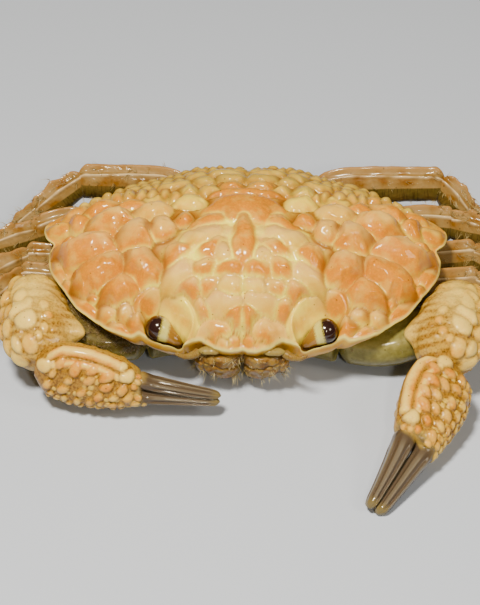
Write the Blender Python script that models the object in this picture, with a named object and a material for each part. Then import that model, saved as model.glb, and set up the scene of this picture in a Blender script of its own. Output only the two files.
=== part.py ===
"""A lobed, sparsely hairy reef crab as a still, life-size museum model.

The crab faces -Y and rests on its breastplate, its folded abdomen and the tips of its limbs at
z = 0. +X is the crab's left. The origin lies on the flat under the abdomen. Sizes here are in
millimetres and become metres when a mesh is made.
"""

import math

import bmesh
import bpy
import numpy as np
from mathutils import Vector

MM = 0.001
GAP = 0.3  # clearance between two solids that touch on the real animal
OVERRUN = 1.2  # how far a segment is drawn past its joint before it is cut there

# Driving sizes of the body
HALF_WIDTH = 30.2  # midline to the tip of the last side tooth
HALF_DEPTH = 19.1  # shell's centre to its rear edge
CROWN_HEIGHT = 20.0  # floor to the smooth dome under the raised fields
BODY_BASE = 3.8  # floor to the flat where the breastplate joins the body
GRID_ACROSS = 50
GRID_ALONG = 32

# Colour, roughness of each finish; no finish is metallic
FINISHES = {
    "shell": ((0.80, 0.45, 0.16, 1.0), 0.35),
    "leg_shell": ((0.50, 0.30, 0.12, 1.0), 0.42),
    "finger": ((0.20, 0.13, 0.09, 1.0), 0.35),
    "belly": ((0.72, 0.62, 0.38, 1.0), 0.45),
    "mouth": ((0.45, 0.30, 0.12, 1.0), 0.50),
    "eye": ((0.30, 0.18, 0.06, 1.0), 0.20),
}

# Half outline of the shell seen from above, from the front notch to the middle of the rear edge
OUTLINE = np.array([
    (0.0, -18.9), (2.3, -19.5), (4.5, -18.7), (6.6, -17.6), (8.8, -18.4), (11.5, -17.9),
    (14.0, -16.8), (16.4, -17.1), (19.2, -16.1), (21.6, -14.2), (24.1, -12.1), (26.0, -9.0),
    (28.3, -5.3), (29.0, -1.5), (28.2, 1.0), (HALF_WIDTH, 3.8), (28.0, 6.6), (24.3, 10.0),
    (19.3, 13.5), (14.0, 15.8), (10.8, 17.4), (8.6, 18.7), (4.3, 19.2), (0.0, HALF_DEPTH),
])

# Height of the edge against the bearing from the shell's centre, -90 at the front
EDGE_BEARINGS = (-90.0, -60.0, -35.0, -10.0, 8.0, 40.0, 90.0)
EDGE_HEIGHTS = (9.6, 9.8, 10.7, 12.0, 12.9, 13.5, 13.5)

# Under side: for each ring its share of the outline's radius at these bearings, then either its
# drop below the edge or its height above the floor
UNDER_BEARINGS = (-90.0, -66.0, -50.0, -38.0, -15.0, 25.0, 60.0, 90.0)
UNDER_DROPS = (
    ((0.985, 0.99, 1.0, 0.985, 0.985, 0.985, 0.985, 0.985), 0.8),
    ((0.94, 0.97, 0.995, 0.92, 0.92, 0.91, 0.90, 0.93), 1.6),
    ((0.88, 0.92, 0.91, 0.84, 0.76, 0.74, 0.76, 0.86), 3.2),
)
UNDER_HEIGHTS = (
    ((0.82, 0.79, 0.68, 0.60, 0.46, 0.44, 0.52, 0.72), 6.2),
    ((0.78, 0.71, 0.60, 0.53, 0.41, 0.40, 0.48, 0.66), BODY_BASE),
)

# Raised fields of the shell: centre x, y, half length, half width, turn in degrees, height.
# Those off the midline have a mirror image.
FIELDS = {
    "gastric_front": (0.0, -11.0, 12.6, 6.6, 0, 1.3),
    "gastric_rear": (0.0, -4.6, 10.4, 6.6, 0, 1.7),
    "epigastric": (3.6, -17.0, 3.1, 1.7, 10, 0.9),
    "supraorbital": (9.0, -15.4, 2.6, 1.7, 48, 1.0),
    "postorbital": (13.6, -13.2, 1.8, 1.3, -22, 0.9),
    "hepatic_inner": (16.4, -15.1, 1.4, 1.1, 0, 0.8),
    "hepatic_outer": (19.3, -14.4, 1.4, 1.1, 10, 0.8),
    "hepatic_oval": (17.4, -12.0, 3.0, 1.9, -2, 1.5),
    "branchial_front": (20.9, -8.4, 3.9, 2.8, -33, 1.6),
    "branchial_inner": (14.4, -8.0, 4.3, 2.6, 65, 1.6),
    "branchial_side": (23.2, -2.8, 4.4, 3.3, 17, 1.5),
    "branchial_mid": (15.9, -2.2, 2.9, 3.6, 0, 1.6),
    "branchial_rear": (20.2, 1.5, 3.3, 2.6, 0, 1.4),
    "branchial_medial": (11.6, -2.8, 2.3, 2.5, 0, 1.4),
    "metabranchial": (8.7, -0.2, 2.6, 2.4, -46, 1.3),
    "tooth_root": (24.7, 3.0, 1.6, 1.7, 0, 1.0),
    "rear_border": (21.8, 5.5, 3.0, 2.3, -30, 1.3),
    "cream_front": (7.4, 3.8, 3.0, 2.3, 0, 1.1),
    "cream_rear": (7.7, 7.9, 2.7, 2.1, 0, 1.0),
    "urogastric": (0.0, 2.8, 5.4, 1.7, 0, 1.0),
    "cardiac": (0.0, 6.4, 5.8, 2.0, 0, 1.2),
    "intestinal": (0.0, 12.0, 9.2, 4.0, 0, 1.1),
    "edge_lobe_1": (18.3, -15.9, 2.8, 1.2, 22, 0.4),
    "edge_lobe_2": (23.1, -11.6, 3.3, 1.2, 41, 0.4),
    "edge_lobe_3": (26.6, -5.6, 2.8, 1.5, 73, 0.4),
    "edge_tooth": (28.2, 2.8, 1.9, 1.3, 30, 0.4),
}
FLANK_RIBS = 5  # short ribs side by side behind the last tooth
FLANK_RIB_FIRST = (18.4, 8.7)
FLANK_RIB_LAST = (10.4, 6.6)
FLANK_RIB_SIZE = (0.95, 2.4, 1.0)  # half width, half length, height
REAR_KNOBS = 6  # knobs along the rear edge on each side
REAR_KNOB_BEARINGS = (48.0, 84.0)
REAR_KNOB_SHARE = 0.9
REAR_KNOB_SIZE = (1.3, 1.2, 0.8)

# Eyes, which lie in sockets at the front corners
EYE_ROOT = (9.1, -17.1, 9.6)
EYE_NECK = (10.5, -16.5, 10.4)
EYE_TIP = (12.0, -15.8, 11.1)
EYE_RADII = (0.85, 1.5, 1.8)
SOCKET_CLEARANCE = 0.35

# Breastplate and abdomen under the body
BREAST_HALF_LENGTH = 12.6
BREAST_HALF_WIDTH = 11.2
BREAST_RINGS = ((1.0, BODY_BASE - GAP), (1.0, 2.4), (0.9, 0.9), (0.76, 0.0))  # share, height
ABDOMEN_PATH = ((0.0, -6.4, 0.6), (0.0, -4.0, 0.6), (0.0, 4.0, 0.6), (0.0, 11.0, 0.8),
                (0.0, 14.4, 2.4), (0.0, 16.6, 6.0), (0.0, 17.4, 9.6))
ABDOMEN_HALF_WIDTHS = (0.7, 1.7, 2.7, 3.5, 3.9, 4.3, 4.6)
ABDOMEN_HALF_THICKNESS = 0.75

# Mouthparts and feelers, on the crab's left
MAXILLIPED_RINGS = (  # height, inner x, outer x, front y, rear y
    (2.7, 0.6, 3.6, -16.4, -14.4), (3.2, 0.25, 5.0, -17.2, -14.0), (5.0, 0.25, 6.8, -18.2, -14.0),
    (6.6, 0.25, 6.9, -18.6, -15.0), (7.5, 0.25, 6.2, -18.5, -16.2), (7.9, 0.6, 5.0, -18.2, -16.8),
)
ANTENNULE_CENTRE = (3.1, -18.6, 8.3)
ANTENNULE_SIZE = (1.7, 0.75, 0.55)
ANTENNA_PATH = ((6.2, -17.6, 8.3), (7.0, -18.6, 8.5), (8.2, -19.5, 9.0), (9.4, -19.9, 9.9))
ANTENNA_RADII = (0.65, 0.55, 0.32, 0.26)

# Cross-section of a walking leg: angles from the front face towards the top, and the radius
# there. The crest stands at 90 degrees and the second ridge at 33, with a hollow between.
LEG_ANGLES = np.radians((-90, -45, -5, 33, 60, 90, 120, 155, 195, 232))
LEG_RADII = np.array((1.0, 0.98, 0.96, 1.18, 0.84, 1.14, 0.9, 1.0, 1.0, 0.98))

# Walking legs: hip, further bends of the upper segment, knee, then the ends of the next three.
# Each side has its own pose.
LEGS = {
    "leg2_left": ((9.5, -1.4, 4.8), (15.0, -0.6, 4.9), (34.8, 1.8, 5.6), (40.8, -3.8, 6.0),
                  (42.8, -10.4, 3.7), (40.8, -16.6, 0.2)),
    "leg3_left": ((9.5, 3.6, 5.0), (15.0, 4.6, 5.2), (34.6, 7.2, 6.6), (41.4, 2.6, 6.4),
                  (45.6, -3.6, 3.9), (46.0, -10.0, 0.2)),
    "leg4_left": ((9.0, 7.8, 5.4), (14.5, 10.0, 6.2), (24.6, 12.4, 8.4), (31.2, 12.8, 8.3),
                  (37.4, 10.4, 8.6), (43.0, 6.6, 5.2), (46.4, 1.4, 0.2)),
    "leg5_left": ((6.0, 10.4, 6.2), (11.0, 18.6, 8.2), (15.2, 20.4, 9.4), (30.0, 19.9, 10.6),
                  (33.6, 17.6, 7.6), (39.0, 15.8, 4.0), (44.6, 14.0, 0.2)),
    "leg2_right": ((-9.5, -1.3, 4.9), (-15.0, -0.5, 5.0), (-33.4, 1.2, 5.6), (-38.0, -4.8, 5.6),
                   (-38.8, -11.8, 3.4), (-36.6, -18.0, 0.2)),
    "leg3_right": ((-9.5, 3.6, 5.0), (-15.0, 4.2, 5.2), (-33.0, 5.6, 5.8), (-39.8, 0.4, 5.5),
                   (-43.4, -5.6, 3.5), (-43.2, -12.0, 0.2)),
    "leg4_right": ((-9.0, 7.8, 5.4), (-14.5, 9.8, 6.4), (-26.0, 11.4, 8.0), (-32.0, 10.6, 6.9),
                   (-39.2, 6.8, 7.0), (-45.0, 3.2, 4.4), (-48.8, -1.0, 0.2)),
    "leg5_right": ((-6.0, 10.4, 6.2), (-10.4, 19.2, 9.0), (-25.8, 19.2, 10.6), (-32.2, 15.6, 7.6),
                   (-36.4, 14.8, 3.4), (-40.6, 14.2, 0.2)),
}
# Half thickness and half height along each leg segment, at its start, middle and end
LEG_SEGMENTS = {
    "merus": ((1.7, 1.75, 1.6), (1.9, 2.8, 2.5)),
    "carpus": ((1.4, 1.65, 1.25), (2.1, 2.5, 1.7)),
    "propodus": ((1.3, 1.4, 1.1), (1.8, 1.9, 1.3)),
    "dactyl": ((1.0, 0.75, 0.34), (1.2, 0.9, 0.36)),
}

# Claw limbs: base, elbow and wrist points, then palm root, finger root and tip, and the
# direction of the hand's upper edge
CLAWS = {
    "left": {
        "base": ((8.0, -8.6, 4.6), (14.2, -10.8, 4.7)),
        "merus": ((14.2, -10.8, 4.7), (21.0, -11.2, 5.2), (30.0, -8.8, 7.2)),
        "carpus": ((30.2, -3.2, 9.0), (31.0, -7.8, 8.8), (29.8, -13.4, 8.6), (29.2, -19.6, 7.4)),
        "tooth": (23.4, -14.2, 9.2),
        "hand": ((29.2, -19.6, 7.4), (24.6, -31.4, 4.4), (18.7, -41.8, 1.0)),
        "upper_edge": (-0.85, 0.15, 0.52),
        "size": 1.0,
    },
    "right": {
        "base": ((-8.0, -8.6, 4.6), (-14.2, -10.8, 4.7)),
        "merus": ((-14.2, -10.8, 4.7), (-21.0, -11.2, 5.2), (-30.0, -8.8, 7.2)),
        "carpus": ((-29.8, -3.2, 8.8), (-30.6, -7.8, 8.6), (-29.6, -13.4, 8.4), (-28.6, -19.4, 6.8)),
        "tooth": (-23.0, -15.2, 9.2),
        "hand": ((-28.6, -19.4, 6.8), (-14.8, -21.8, 5.1), (-2.9, -22.4, 3.6)),
        "upper_edge": (0.02, 0.25, 0.97),
        "size": 0.9,
    },
}
CLAW_BASE_SIZE = ((2.6, 3.0, 2.9), (2.7, 2.9, 2.8))
CLAW_MERUS_SIZE = ((3.0, 3.9, 3.2), (2.7, 3.3, 3.2))
CARPUS_SIZE = ((3.1, 4.7, 5.1, 3.6), (2.9, 4.1, 4.5, 3.6))
WRIST_TOOTH_RADIUS = 1.5
# Hand: share of the way from root to finger root (beyond 1, to the tip), upper edge, lower edge
# and half thickness
PALM_STATIONS = (
    (-0.06, 2.2, -2.2, 1.8), (0.1, 4.4, -4.7, 2.7), (0.35, 5.2, -5.3, 3.1), (0.65, 4.8, -4.8, 3.0),
    (0.9, 3.9, -3.9, 2.7), (1.0, 3.1, -3.5, 2.4), (1.04, -0.15, -3.3, 2.3), (1.35, -0.15, -2.7, 1.8),
    (1.7, -0.15, -2.1, 1.4), (1.93, -0.15, -1.7, 1.1), (2.0, -0.35, -1.2, 0.6),
)
FINGER_STATIONS = (
    (1.06, 2.6, 0.5, 1.5), (1.09, 3.0, 0.15, 2.1), (1.35, 2.5, 0.15, 1.8),
    (1.7, 1.9, 0.15, 1.4), (1.93, 1.5, 0.15, 1.1), (2.0, 1.1, 0.35, 0.6),
)
HAND_AROUND = 14
# Knobs of the hand's outer face, in rows: along share, height on the face, radius
PALM_KNOB_ROWS = ((2.4, 0.95), (0.4, 1.0), (-1.6, 0.9), (-3.4, 0.7))
PALM_KNOB_SHARES = (0.2, 0.42, 0.64, 0.86)
CARPUS_KNOB_BEARINGS = (20, 50, 80, 110)
CARPUS_KNOB_SHARES = (0.35, 0.55, 0.75, 0.92)
CARPUS_KNOB_RADIUS = 1.15


def unit(vector):
    return np.asarray(vector, float) / np.linalg.norm(vector)


def dense_outline(steps=10):
    """The half outline as a Catmull-Rom curve through its points, mirrored past both ends."""
    points = np.vstack([OUTLINE[1] * (-1, 1), OUTLINE, OUTLINE[-2] * (-1, 1)])
    t = np.linspace(0, 1, steps, endpoint=False)[:, None]
    pieces = [
        0.5 * (2 * b + (c - a) * t + (2 * a - 5 * b + 4 * c - d) * t**2
               + (3 * b - a - 3 * c + d) * t**3)
        for a, b, c, d in zip(points[:-3], points[1:-2], points[2:-1], points[3:])
    ]
    return np.vstack([*pieces, OUTLINE[-1:]])


EDGE = dense_outline()
EDGE_ANGLE = np.arctan2(EDGE[:, 1], np.abs(EDGE[:, 0]))
EDGE_RADIUS = np.hypot(EDGE[:, 0], EDGE[:, 1])


def bearing(x, y):
    """Angle from the side towards the rear, -90 degrees at the front, alike on both sides."""
    return np.arctan2(y, np.abs(x))


def outline_radius(x, y):
    return np.interp(bearing(x, y), EDGE_ANGLE, EDGE_RADIUS)


def edge_height(x, y):
    return np.interp(np.degrees(bearing(x, y)), EDGE_BEARINGS, EDGE_HEIGHTS)


def all_fields():
    """Every raised field: the named ones, the flank ribs, the rear knobs and all mirror images."""
    listed = list(FIELDS.values())
    half_width, half_length, height = FLANK_RIB_SIZE
    for share in np.linspace(0, 1, FLANK_RIBS):
        x, y = np.array(FLANK_RIB_FIRST) * (1 - share) + np.array(FLANK_RIB_LAST) * share
        listed.append((x, y, half_width, half_length, 0, height))
    for degrees in np.linspace(*REAR_KNOB_BEARINGS, REAR_KNOBS):
        angle = math.radians(degrees)
        radius = REAR_KNOB_SHARE * np.interp(angle, EDGE_ANGLE, EDGE_RADIUS)
        listed.append((radius * math.cos(angle), radius * math.sin(angle), REAR_KNOB_SIZE[0],
                       REAR_KNOB_SIZE[1], 0, REAR_KNOB_SIZE[2]))
    mirrored = [(-x, y, a, b, -turn, h) for x, y, a, b, turn, h in listed if x > 0]
    return listed + mirrored


def field_relief(x, y):
    """Height over the dome: at each point the highest of the pillow-shaped fields there."""
    relief = np.zeros_like(x)
    for cx, cy, half_length, half_width, turn, height in all_fields():
        c, s = math.cos(math.radians(turn)), math.sin(math.radians(turn))
        along = ((x - cx) * c + (y - cy) * s) / half_length
        across = (-(x - cx) * s + (y - cy) * c) / half_width
        reach = np.clip(np.hypot(along, across), 0, 1)
        relief = np.maximum(relief, height * (1 - reach**3) ** 0.7)
    return relief


def shell_height(x, y):
    """The shell's upper surface: a dome that falls to the edge, with its raised fields."""
    share = np.clip(np.hypot(x, y) / outline_radius(x, y), 0, 1)
    edge = edge_height(x, y)
    dome = edge + (CROWN_HEIGHT - edge) * (1 - share**2.5)
    fade = np.clip((1 - share) / 0.05, 0, 1)
    return dome + field_relief(x, y) * fade


def finish(name):
    material = bpy.data.materials.get(name)
    if material is None:
        colour, roughness = FINISHES[name]
        material = bpy.data.materials.new(name)
        material.use_nodes = True
        shader = material.node_tree.nodes["Principled BSDF"]
        shader.inputs["Base Color"].default_value = colour
        shader.inputs["Roughness"].default_value = roughness
        shader.inputs["Metallic"].default_value = 0.0
    return material


def solid(name, points, faces, finish_name):
    """A closed mesh object from points in millimetres, with its faces turned outwards."""
    mesh = bpy.data.meshes.new(name)
    mesh.from_pydata((np.asarray(points) * MM).tolist(), [], faces)
    bm = bmesh.new()
    bm.from_mesh(mesh)
    bmesh.ops.recalc_face_normals(bm, faces=bm.faces)
    if bm.calc_volume(signed=True) < 0:
        bmesh.ops.reverse_faces(bm, faces=bm.faces)
    bm.to_mesh(mesh)
    bm.free()
    obj = bpy.data.objects.new(name, mesh)
    obj.data.materials.append(finish(finish_name))
    bpy.context.scene.collection.objects.link(obj)
    return obj


def ring_solid(name, rings, finish_name):
    """A closed skin over rings of equal count, closed at each end by a fan to its middle."""
    rings = np.asarray(rings)
    count, around = rings.shape[:2]
    ends = [rings[0].mean(axis=0), rings[-1].mean(axis=0)]
    points = np.vstack([rings.reshape(-1, 3), ends])
    start, end = count * around, count * around + 1
    last = start - around
    faces = []
    for j in range(around):
        k = (j + 1) % around
        for row in range(0, last, around):
            faces.append((row + j, row + k, row + around + k, row + around + j))
        faces.append((start, k, j))
        faces.append((end, last + j, last + k))
    return solid(name, points, faces, finish_name)


def clip(obj, point, normal):
    """Cuts obj flat at a plane and keeps what lies behind it, closed by one face."""
    bm = bmesh.new()
    bm.from_mesh(obj.data)
    cut = bmesh.ops.bisect_plane(
        bm, geom=bm.verts[:] + bm.edges[:] + bm.faces[:], dist=1e-7,
        plane_co=Vector(np.asarray(point) * MM), plane_no=Vector(unit(normal)), clear_outer=True)
    edges = [e for e in cut["geom_cut"] if isinstance(e, bmesh.types.BMEdge)]
    if edges:
        bmesh.ops.holes_fill(bm, edges=edges, sides=0)
    bm.to_mesh(obj.data)
    bm.free()


def keep_largest(obj):
    """Drops every loose scrap but the largest closed surface."""
    bm = bmesh.new()
    bm.from_mesh(obj.data)
    unseen = set(bm.verts)
    groups = []
    while unseen:
        stack = [unseen.pop()]
        group = set(stack)
        while stack:
            for edge in stack.pop().link_edges:
                for vert in edge.verts:
                    if vert in unseen:
                        unseen.discard(vert)
                        group.add(vert)
                        stack.append(vert)
        groups.append(group)
    largest = max(groups, key=len)
    scraps = [v for group in groups if group is not largest for v in group]
    bmesh.ops.delete(bm, geom=scraps, context="VERTS")
    bm.to_mesh(obj.data)
    bm.free()


def combine(obj, others, operation, solver="EXACT"):
    """Joins closed meshes to obj or cuts them from it, in one Boolean, and uses them up."""
    group = bpy.data.collections.new(obj.name + "_pieces")
    bpy.context.scene.collection.children.link(group)
    for other in others:
        for holder in list(other.users_collection):
            holder.objects.unlink(other)
        group.objects.link(other)
    modifier = obj.modifiers.new("join", "BOOLEAN")
    modifier.operation = operation
    modifier.operand_type = "COLLECTION"
    modifier.collection = group
    modifier.solver = solver
    graph = bpy.context.evaluated_depsgraph_get()
    result = bpy.data.meshes.new_from_object(obj.evaluated_get(graph))
    obj.modifiers.clear()
    obj.data = result
    for other in others:
        bpy.data.objects.remove(other)
    bpy.data.collections.remove(group)
    keep_largest(obj)


def grown(obj, clearance=GAP):
    """A copy of obj, each point moved out along its normal by the clearance."""
    mesh = obj.data.copy()
    mesh.name = obj.name + "_grown"
    normals = np.zeros(len(mesh.vertices) * 3)
    places = np.zeros(len(mesh.vertices) * 3)
    mesh.vertices.foreach_get("normal", normals)
    mesh.vertices.foreach_get("co", places)
    mesh.vertices.foreach_set("co", places + normals * clearance * MM)
    copy = bpy.data.objects.new(mesh.name, mesh)
    bpy.context.scene.collection.objects.link(copy)
    return copy


def trim(obj, *neighbours):
    """Cuts obj back to its clearance from each neighbour in turn."""
    for neighbour in neighbours:
        combine(obj, [grown(neighbour)], "DIFFERENCE")


def oval(count):
    angle = np.arange(count) * 2 * math.pi / count
    return np.cos(angle), np.sin(angle)


def loft(name, path, widths, heights, up, side, finish_name, section, shares, tip=False):
    """A limb segment along a path, rounded off at both ends and drawn past its joints.

    widths and heights are half sizes, spread evenly from start to end. The section gives
    across and up shares: across points to the limb's front face, up to its crest. side is 1 on
    the crab's left and -1 on its right. With tip the far end stays where the path ends.
    """
    path = np.array(path, float)
    path[0] += unit(path[0] - path[1]) * OVERRUN
    if not tip:
        path[-1] += unit(path[-1] - path[-2]) * OVERRUN
    lengths = np.concatenate([[0], np.cumsum(np.linalg.norm(np.diff(path, axis=0), axis=1))])
    shares = np.asarray(shares)
    at = shares * lengths[-1]
    centres = np.stack([np.interp(at, lengths, path[:, k]) for k in range(3)], axis=1)
    spread = np.linspace(0, 1, len(widths))
    rounding = np.where((shares < 0.01) | ((shares > 0.99) & (not tip)), 0.72, 1.0)
    wide = np.interp(shares, spread, widths) * rounding
    high = np.interp(shares, spread, heights) * rounding
    across, upward = section
    rings = []
    for i, centre in enumerate(centres):
        axis = unit(centres[min(i + 1, len(centres) - 1)] - centres[max(i - 1, 0)])
        front = unit(np.cross(axis, up)) * side
        top = unit(np.cross(front, axis)) * side
        rings.append(centre + np.outer(across * wide[i], front) + np.outer(upward * high[i], top))
    return ring_solid(name, rings, finish_name)


def part_at(before, after, joint, before_axis, after_axis):
    """Parts two neighbouring segments with a thin cut across the bend at their joint."""
    normal = unit(unit(before_axis) + unit(after_axis))
    clip(before, np.asarray(joint) - normal * GAP / 2, normal)
    clip(after, np.asarray(joint) + normal * GAP / 2, -normal)


def knob(centre, radius):
    """A low round tubercle of few faces, to be joined to a shell."""
    mesh = bpy.data.meshes.new("knob")
    bm = bmesh.new()
    bmesh.ops.create_uvsphere(bm, u_segments=6, v_segments=4, radius=radius * MM)
    bmesh.ops.translate(bm, vec=Vector(np.asarray(centre) * MM), verts=bm.verts)
    bm.to_mesh(mesh)
    bm.free()
    obj = bpy.data.objects.new("knob", mesh)
    bpy.context.scene.collection.objects.link(obj)
    return obj


def make_carapace():
    """The shell: a grid laid over the outline, joined round its border to the under side."""
    a, b = np.meshgrid(np.linspace(-1, 1, GRID_ACROSS + 1), np.linspace(-1, 1, GRID_ALONG + 1))
    x = HALF_WIDTH * a * np.sqrt(1 - b**2 / 2)
    y = HALF_DEPTH * b * np.sqrt(1 - a**2 / 2)
    ellipse_share = np.hypot(x / HALF_WIDTH, y / HALF_DEPTH)
    reach = np.hypot(x, y)
    ellipse_radius = reach / np.maximum(ellipse_share, 1e-9)
    stretch = np.where(reach > 0, outline_radius(x, y) / np.maximum(ellipse_radius, 1e-9), 1.0)
    x, y = x * stretch, y * stretch
    top = np.stack([x, y, shell_height(x, y)], axis=-1)
    rows, columns = x.shape
    index = np.arange(rows * columns).reshape(rows, columns)
    quads = np.stack([index[:-1, :-1], index[:-1, 1:], index[1:, 1:], index[1:, :-1]], axis=-1)
    faces = quads.reshape(-1, 4).tolist()
    border = np.concatenate([index[0, :-1], index[:-1, -1], index[-1, :0:-1], index[:0:-1, 0]])

    edge = top.reshape(-1, 3)[border]
    degrees = np.degrees(bearing(edge[:, 0], edge[:, 1]))
    rings = []
    for shares, drop in UNDER_DROPS:
        share = np.interp(degrees, UNDER_BEARINGS, shares)[:, None]
        rings.append(np.hstack([edge[:, :2] * share, edge[:, 2:] - drop]))
    for shares, height in UNDER_HEIGHTS:
        share = np.interp(degrees, UNDER_BEARINGS, shares)[:, None]
        rings.append(np.hstack([edge[:, :2] * share, np.full((len(edge), 1), height)]))
    points = np.vstack([top.reshape(-1, 3), *rings, [[0.0, 0.0, BODY_BASE]]])
    count = len(border)
    loops = [border] + [rows * columns + count * k + np.arange(count) for k in range(len(rings))]
    for upper, lower in zip(loops[:-1], loops[1:]):
        for j in range(count):
            k = (j + 1) % count
            faces.append((int(upper[j]), int(lower[j]), int(lower[k]), int(upper[k])))
    centre = len(points) - 1
    for j in range(count):
        faces.append((int(loops[-1][j]), centre, int(loops[-1][(j + 1) % count])))
    return solid("carapace", points, faces, "shell")


def make_eye(name, side):
    """A short stalk that widens to the rounded cornea at its outer end."""
    path = np.array([EYE_ROOT, EYE_NECK, EYE_TIP]) * (side, 1, 1)
    axis = unit(path[-1] - path[0])
    front = unit(np.cross(axis, (0, 0, 1)))
    top = np.cross(front, axis)
    along = (0.0, 0.0, 0.5, 1.0, 1.0, 1.0)
    swell = (0.6, 1.0, 1.0, 1.0, 0.8, 0.4)
    past = (-0.4, 0.0, 0.0, 0.0, 1.1, 1.7)
    across, upward = oval(12)
    rings = []
    for share, scale, extra in zip(along, swell, past):
        centre = np.array([np.interp(share, (0, 0.5, 1), path[:, k]) for k in range(3)])
        radius = np.interp(share, (0, 0.5, 1), EYE_RADII) * scale
        rings.append(centre + axis * extra + np.outer(across * radius, front)
                     + np.outer(upward * radius, top))
    return ring_solid(name, rings, "eye")


def make_breastplate():
    """The flat plate between the legs, on which the body rests."""
    across, along = oval(28)
    rings = []
    for share, height in BREAST_RINGS:
        rings.append(np.stack([across * BREAST_HALF_WIDTH * share, along * BREAST_HALF_LENGTH * share,
                               np.full(28, height)], axis=1))
    return ring_solid("sternum", rings, "belly")


def make_abdomen():
    """The tail flap, folded forward under the breastplate from the rear edge of the shell."""
    path = np.array(ABDOMEN_PATH)
    across = np.array((-1, -0.9, 0, 0.9, 1, 0.8, 0, -0.8))
    upward = np.array((0.3, 1, 1, 1, 0.3, -1, -1, -1))
    rings = []
    for i, centre in enumerate(path):
        axis = unit(path[min(i + 1, len(path) - 1)] - path[max(i - 1, 0)])
        top = np.cross((1.0, 0.0, 0.0), axis)
        rings.append(centre + np.outer(across * ABDOMEN_HALF_WIDTHS[i], (1, 0, 0))
                     + np.outer(upward * ABDOMEN_HALF_THICKNESS, top))
    obj = ring_solid("abdomen", rings, "belly")
    clip(obj, (0, 0, 0), (0, 0, -1))
    return obj


def make_maxilliped(name, side):
    """The outer mouthpart, a plate that closes its half of the mouth."""
    rings = []
    for height, inner, outer, front, rear in MAXILLIPED_RINGS:
        x = np.array((inner, inner, (inner + outer) / 2, outer - 0.6, outer, outer, inner))
        y = np.array((rear, front + 0.5, front, front + 0.5, front + 1.3, rear, rear))[:6]
        rings.append(np.stack([x[:6] * side, y, np.full(6, height)], axis=1))
    return ring_solid(name, rings, "mouth")


def make_feeler(name, side):
    """The long feeler, which lies folded along the lower rim of the eye socket."""
    path = np.array(ANTENNA_PATH) * (side, 1, 1)
    across, upward = oval(6)
    rings = []
    for i, centre in enumerate(path):
        axis = unit(path[min(i + 1, len(path) - 1)] - path[max(i - 1, 0)])
        front = unit(np.cross(axis, (0, 0, 1)))
        top = np.cross(front, axis)
        radius = ANTENNA_RADII[i]
        rings.append(centre + np.outer(across * radius, front) + np.outer(upward * radius, top))
    return ring_solid(name, rings, "mouth")


def make_antennule(name, side):
    """The short feeler, folded sideways in its pit under the front edge."""
    mesh = bpy.data.meshes.new(name)
    bm = bmesh.new()
    bmesh.ops.create_uvsphere(bm, u_segments=10, v_segments=6, radius=MM)
    bmesh.ops.scale(bm, vec=ANTENNULE_SIZE, verts=bm.verts)
    bmesh.ops.translate(bm, vec=Vector(np.array(ANTENNULE_CENTRE) * (side, 1, 1) * MM), verts=bm.verts)
    bm.to_mesh(mesh)
    bm.free()
    obj = bpy.data.objects.new(name, mesh)
    mesh.materials.append(finish("mouth"))
    bpy.context.scene.collection.objects.link(obj)
    return obj


def make_leg(name, points, side):
    """A walking leg of four segments, the first with its root under the shell."""
    section = (np.cos(LEG_ANGLES) * LEG_RADII, np.sin(LEG_ANGLES) * LEG_RADII)
    upper_path, rest = points[:-3], points[-4:]
    paths = {"merus": upper_path, "carpus": rest[0:2], "propodus": rest[1:3], "dactyl": rest[2:4]}
    pieces = []
    for segment, path in paths.items():
        widths, heights = LEG_SEGMENTS[segment]
        shares = (0.0, 0.08, 0.3, 0.5, 0.75, 0.94, 1.0) if segment == "merus" else (0, 0.14, 0.5, 0.86, 1)
        pieces.append(loft(f"{name}_{segment}", path, widths, heights, (0, 0.25, 1), side,
                           "leg_shell", section, shares, tip=segment == "dactyl"))
    ends = [np.array(p) for p in (points[-5], *rest)]
    for k in range(3):
        part_at(pieces[k], pieces[k + 1], ends[k + 1], ends[k + 1] - ends[k], ends[k + 2] - ends[k + 1])
    clip(pieces[3], (0, 0, 0), (0, 0, -1))
    return pieces


def hand_frame(claw):
    """Points and directions of a hand: root, finger root, tip, upper edge and outer face."""
    root, fork, tip = (np.array(p) for p in claw["hand"])
    axis = unit(tip - root)
    edge = np.array(claw["upper_edge"])
    edge = unit(edge - axis * (edge @ axis))
    outer = np.cross(axis, edge)
    if outer[2] < 0 or abs(outer[2]) < 0.3 and outer[1] > 0:
        outer = -outer
    return root, fork, tip, edge, outer


def hand_point(claw, share):
    root, fork, tip, _, _ = hand_frame(claw)
    if share <= 1:
        return root + (fork - root) * share
    return fork + (tip - fork) * (share - 1)


def make_hand_solid(name, claw, stations, finish_name):
    """Palm or finger: rings between an upper and a lower edge at each station of the hand."""
    _, _, _, edge, outer = hand_frame(claw)
    across, upward = oval(HAND_AROUND)
    square = 0.85
    across = np.sign(across) * np.abs(across) ** square
    upward = np.sign(upward) * np.abs(upward) ** square
    rings = []
    for share, upper, lower, thick in stations:
        middle, half = (upper + lower) / 2, (upper - lower) / 2
        rings.append(hand_point(claw, share) + claw["size"] * (
            np.outer(middle + upward * half, edge) + np.outer(across * thick, outer)))
    return ring_solid(name, rings, finish_name)


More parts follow.
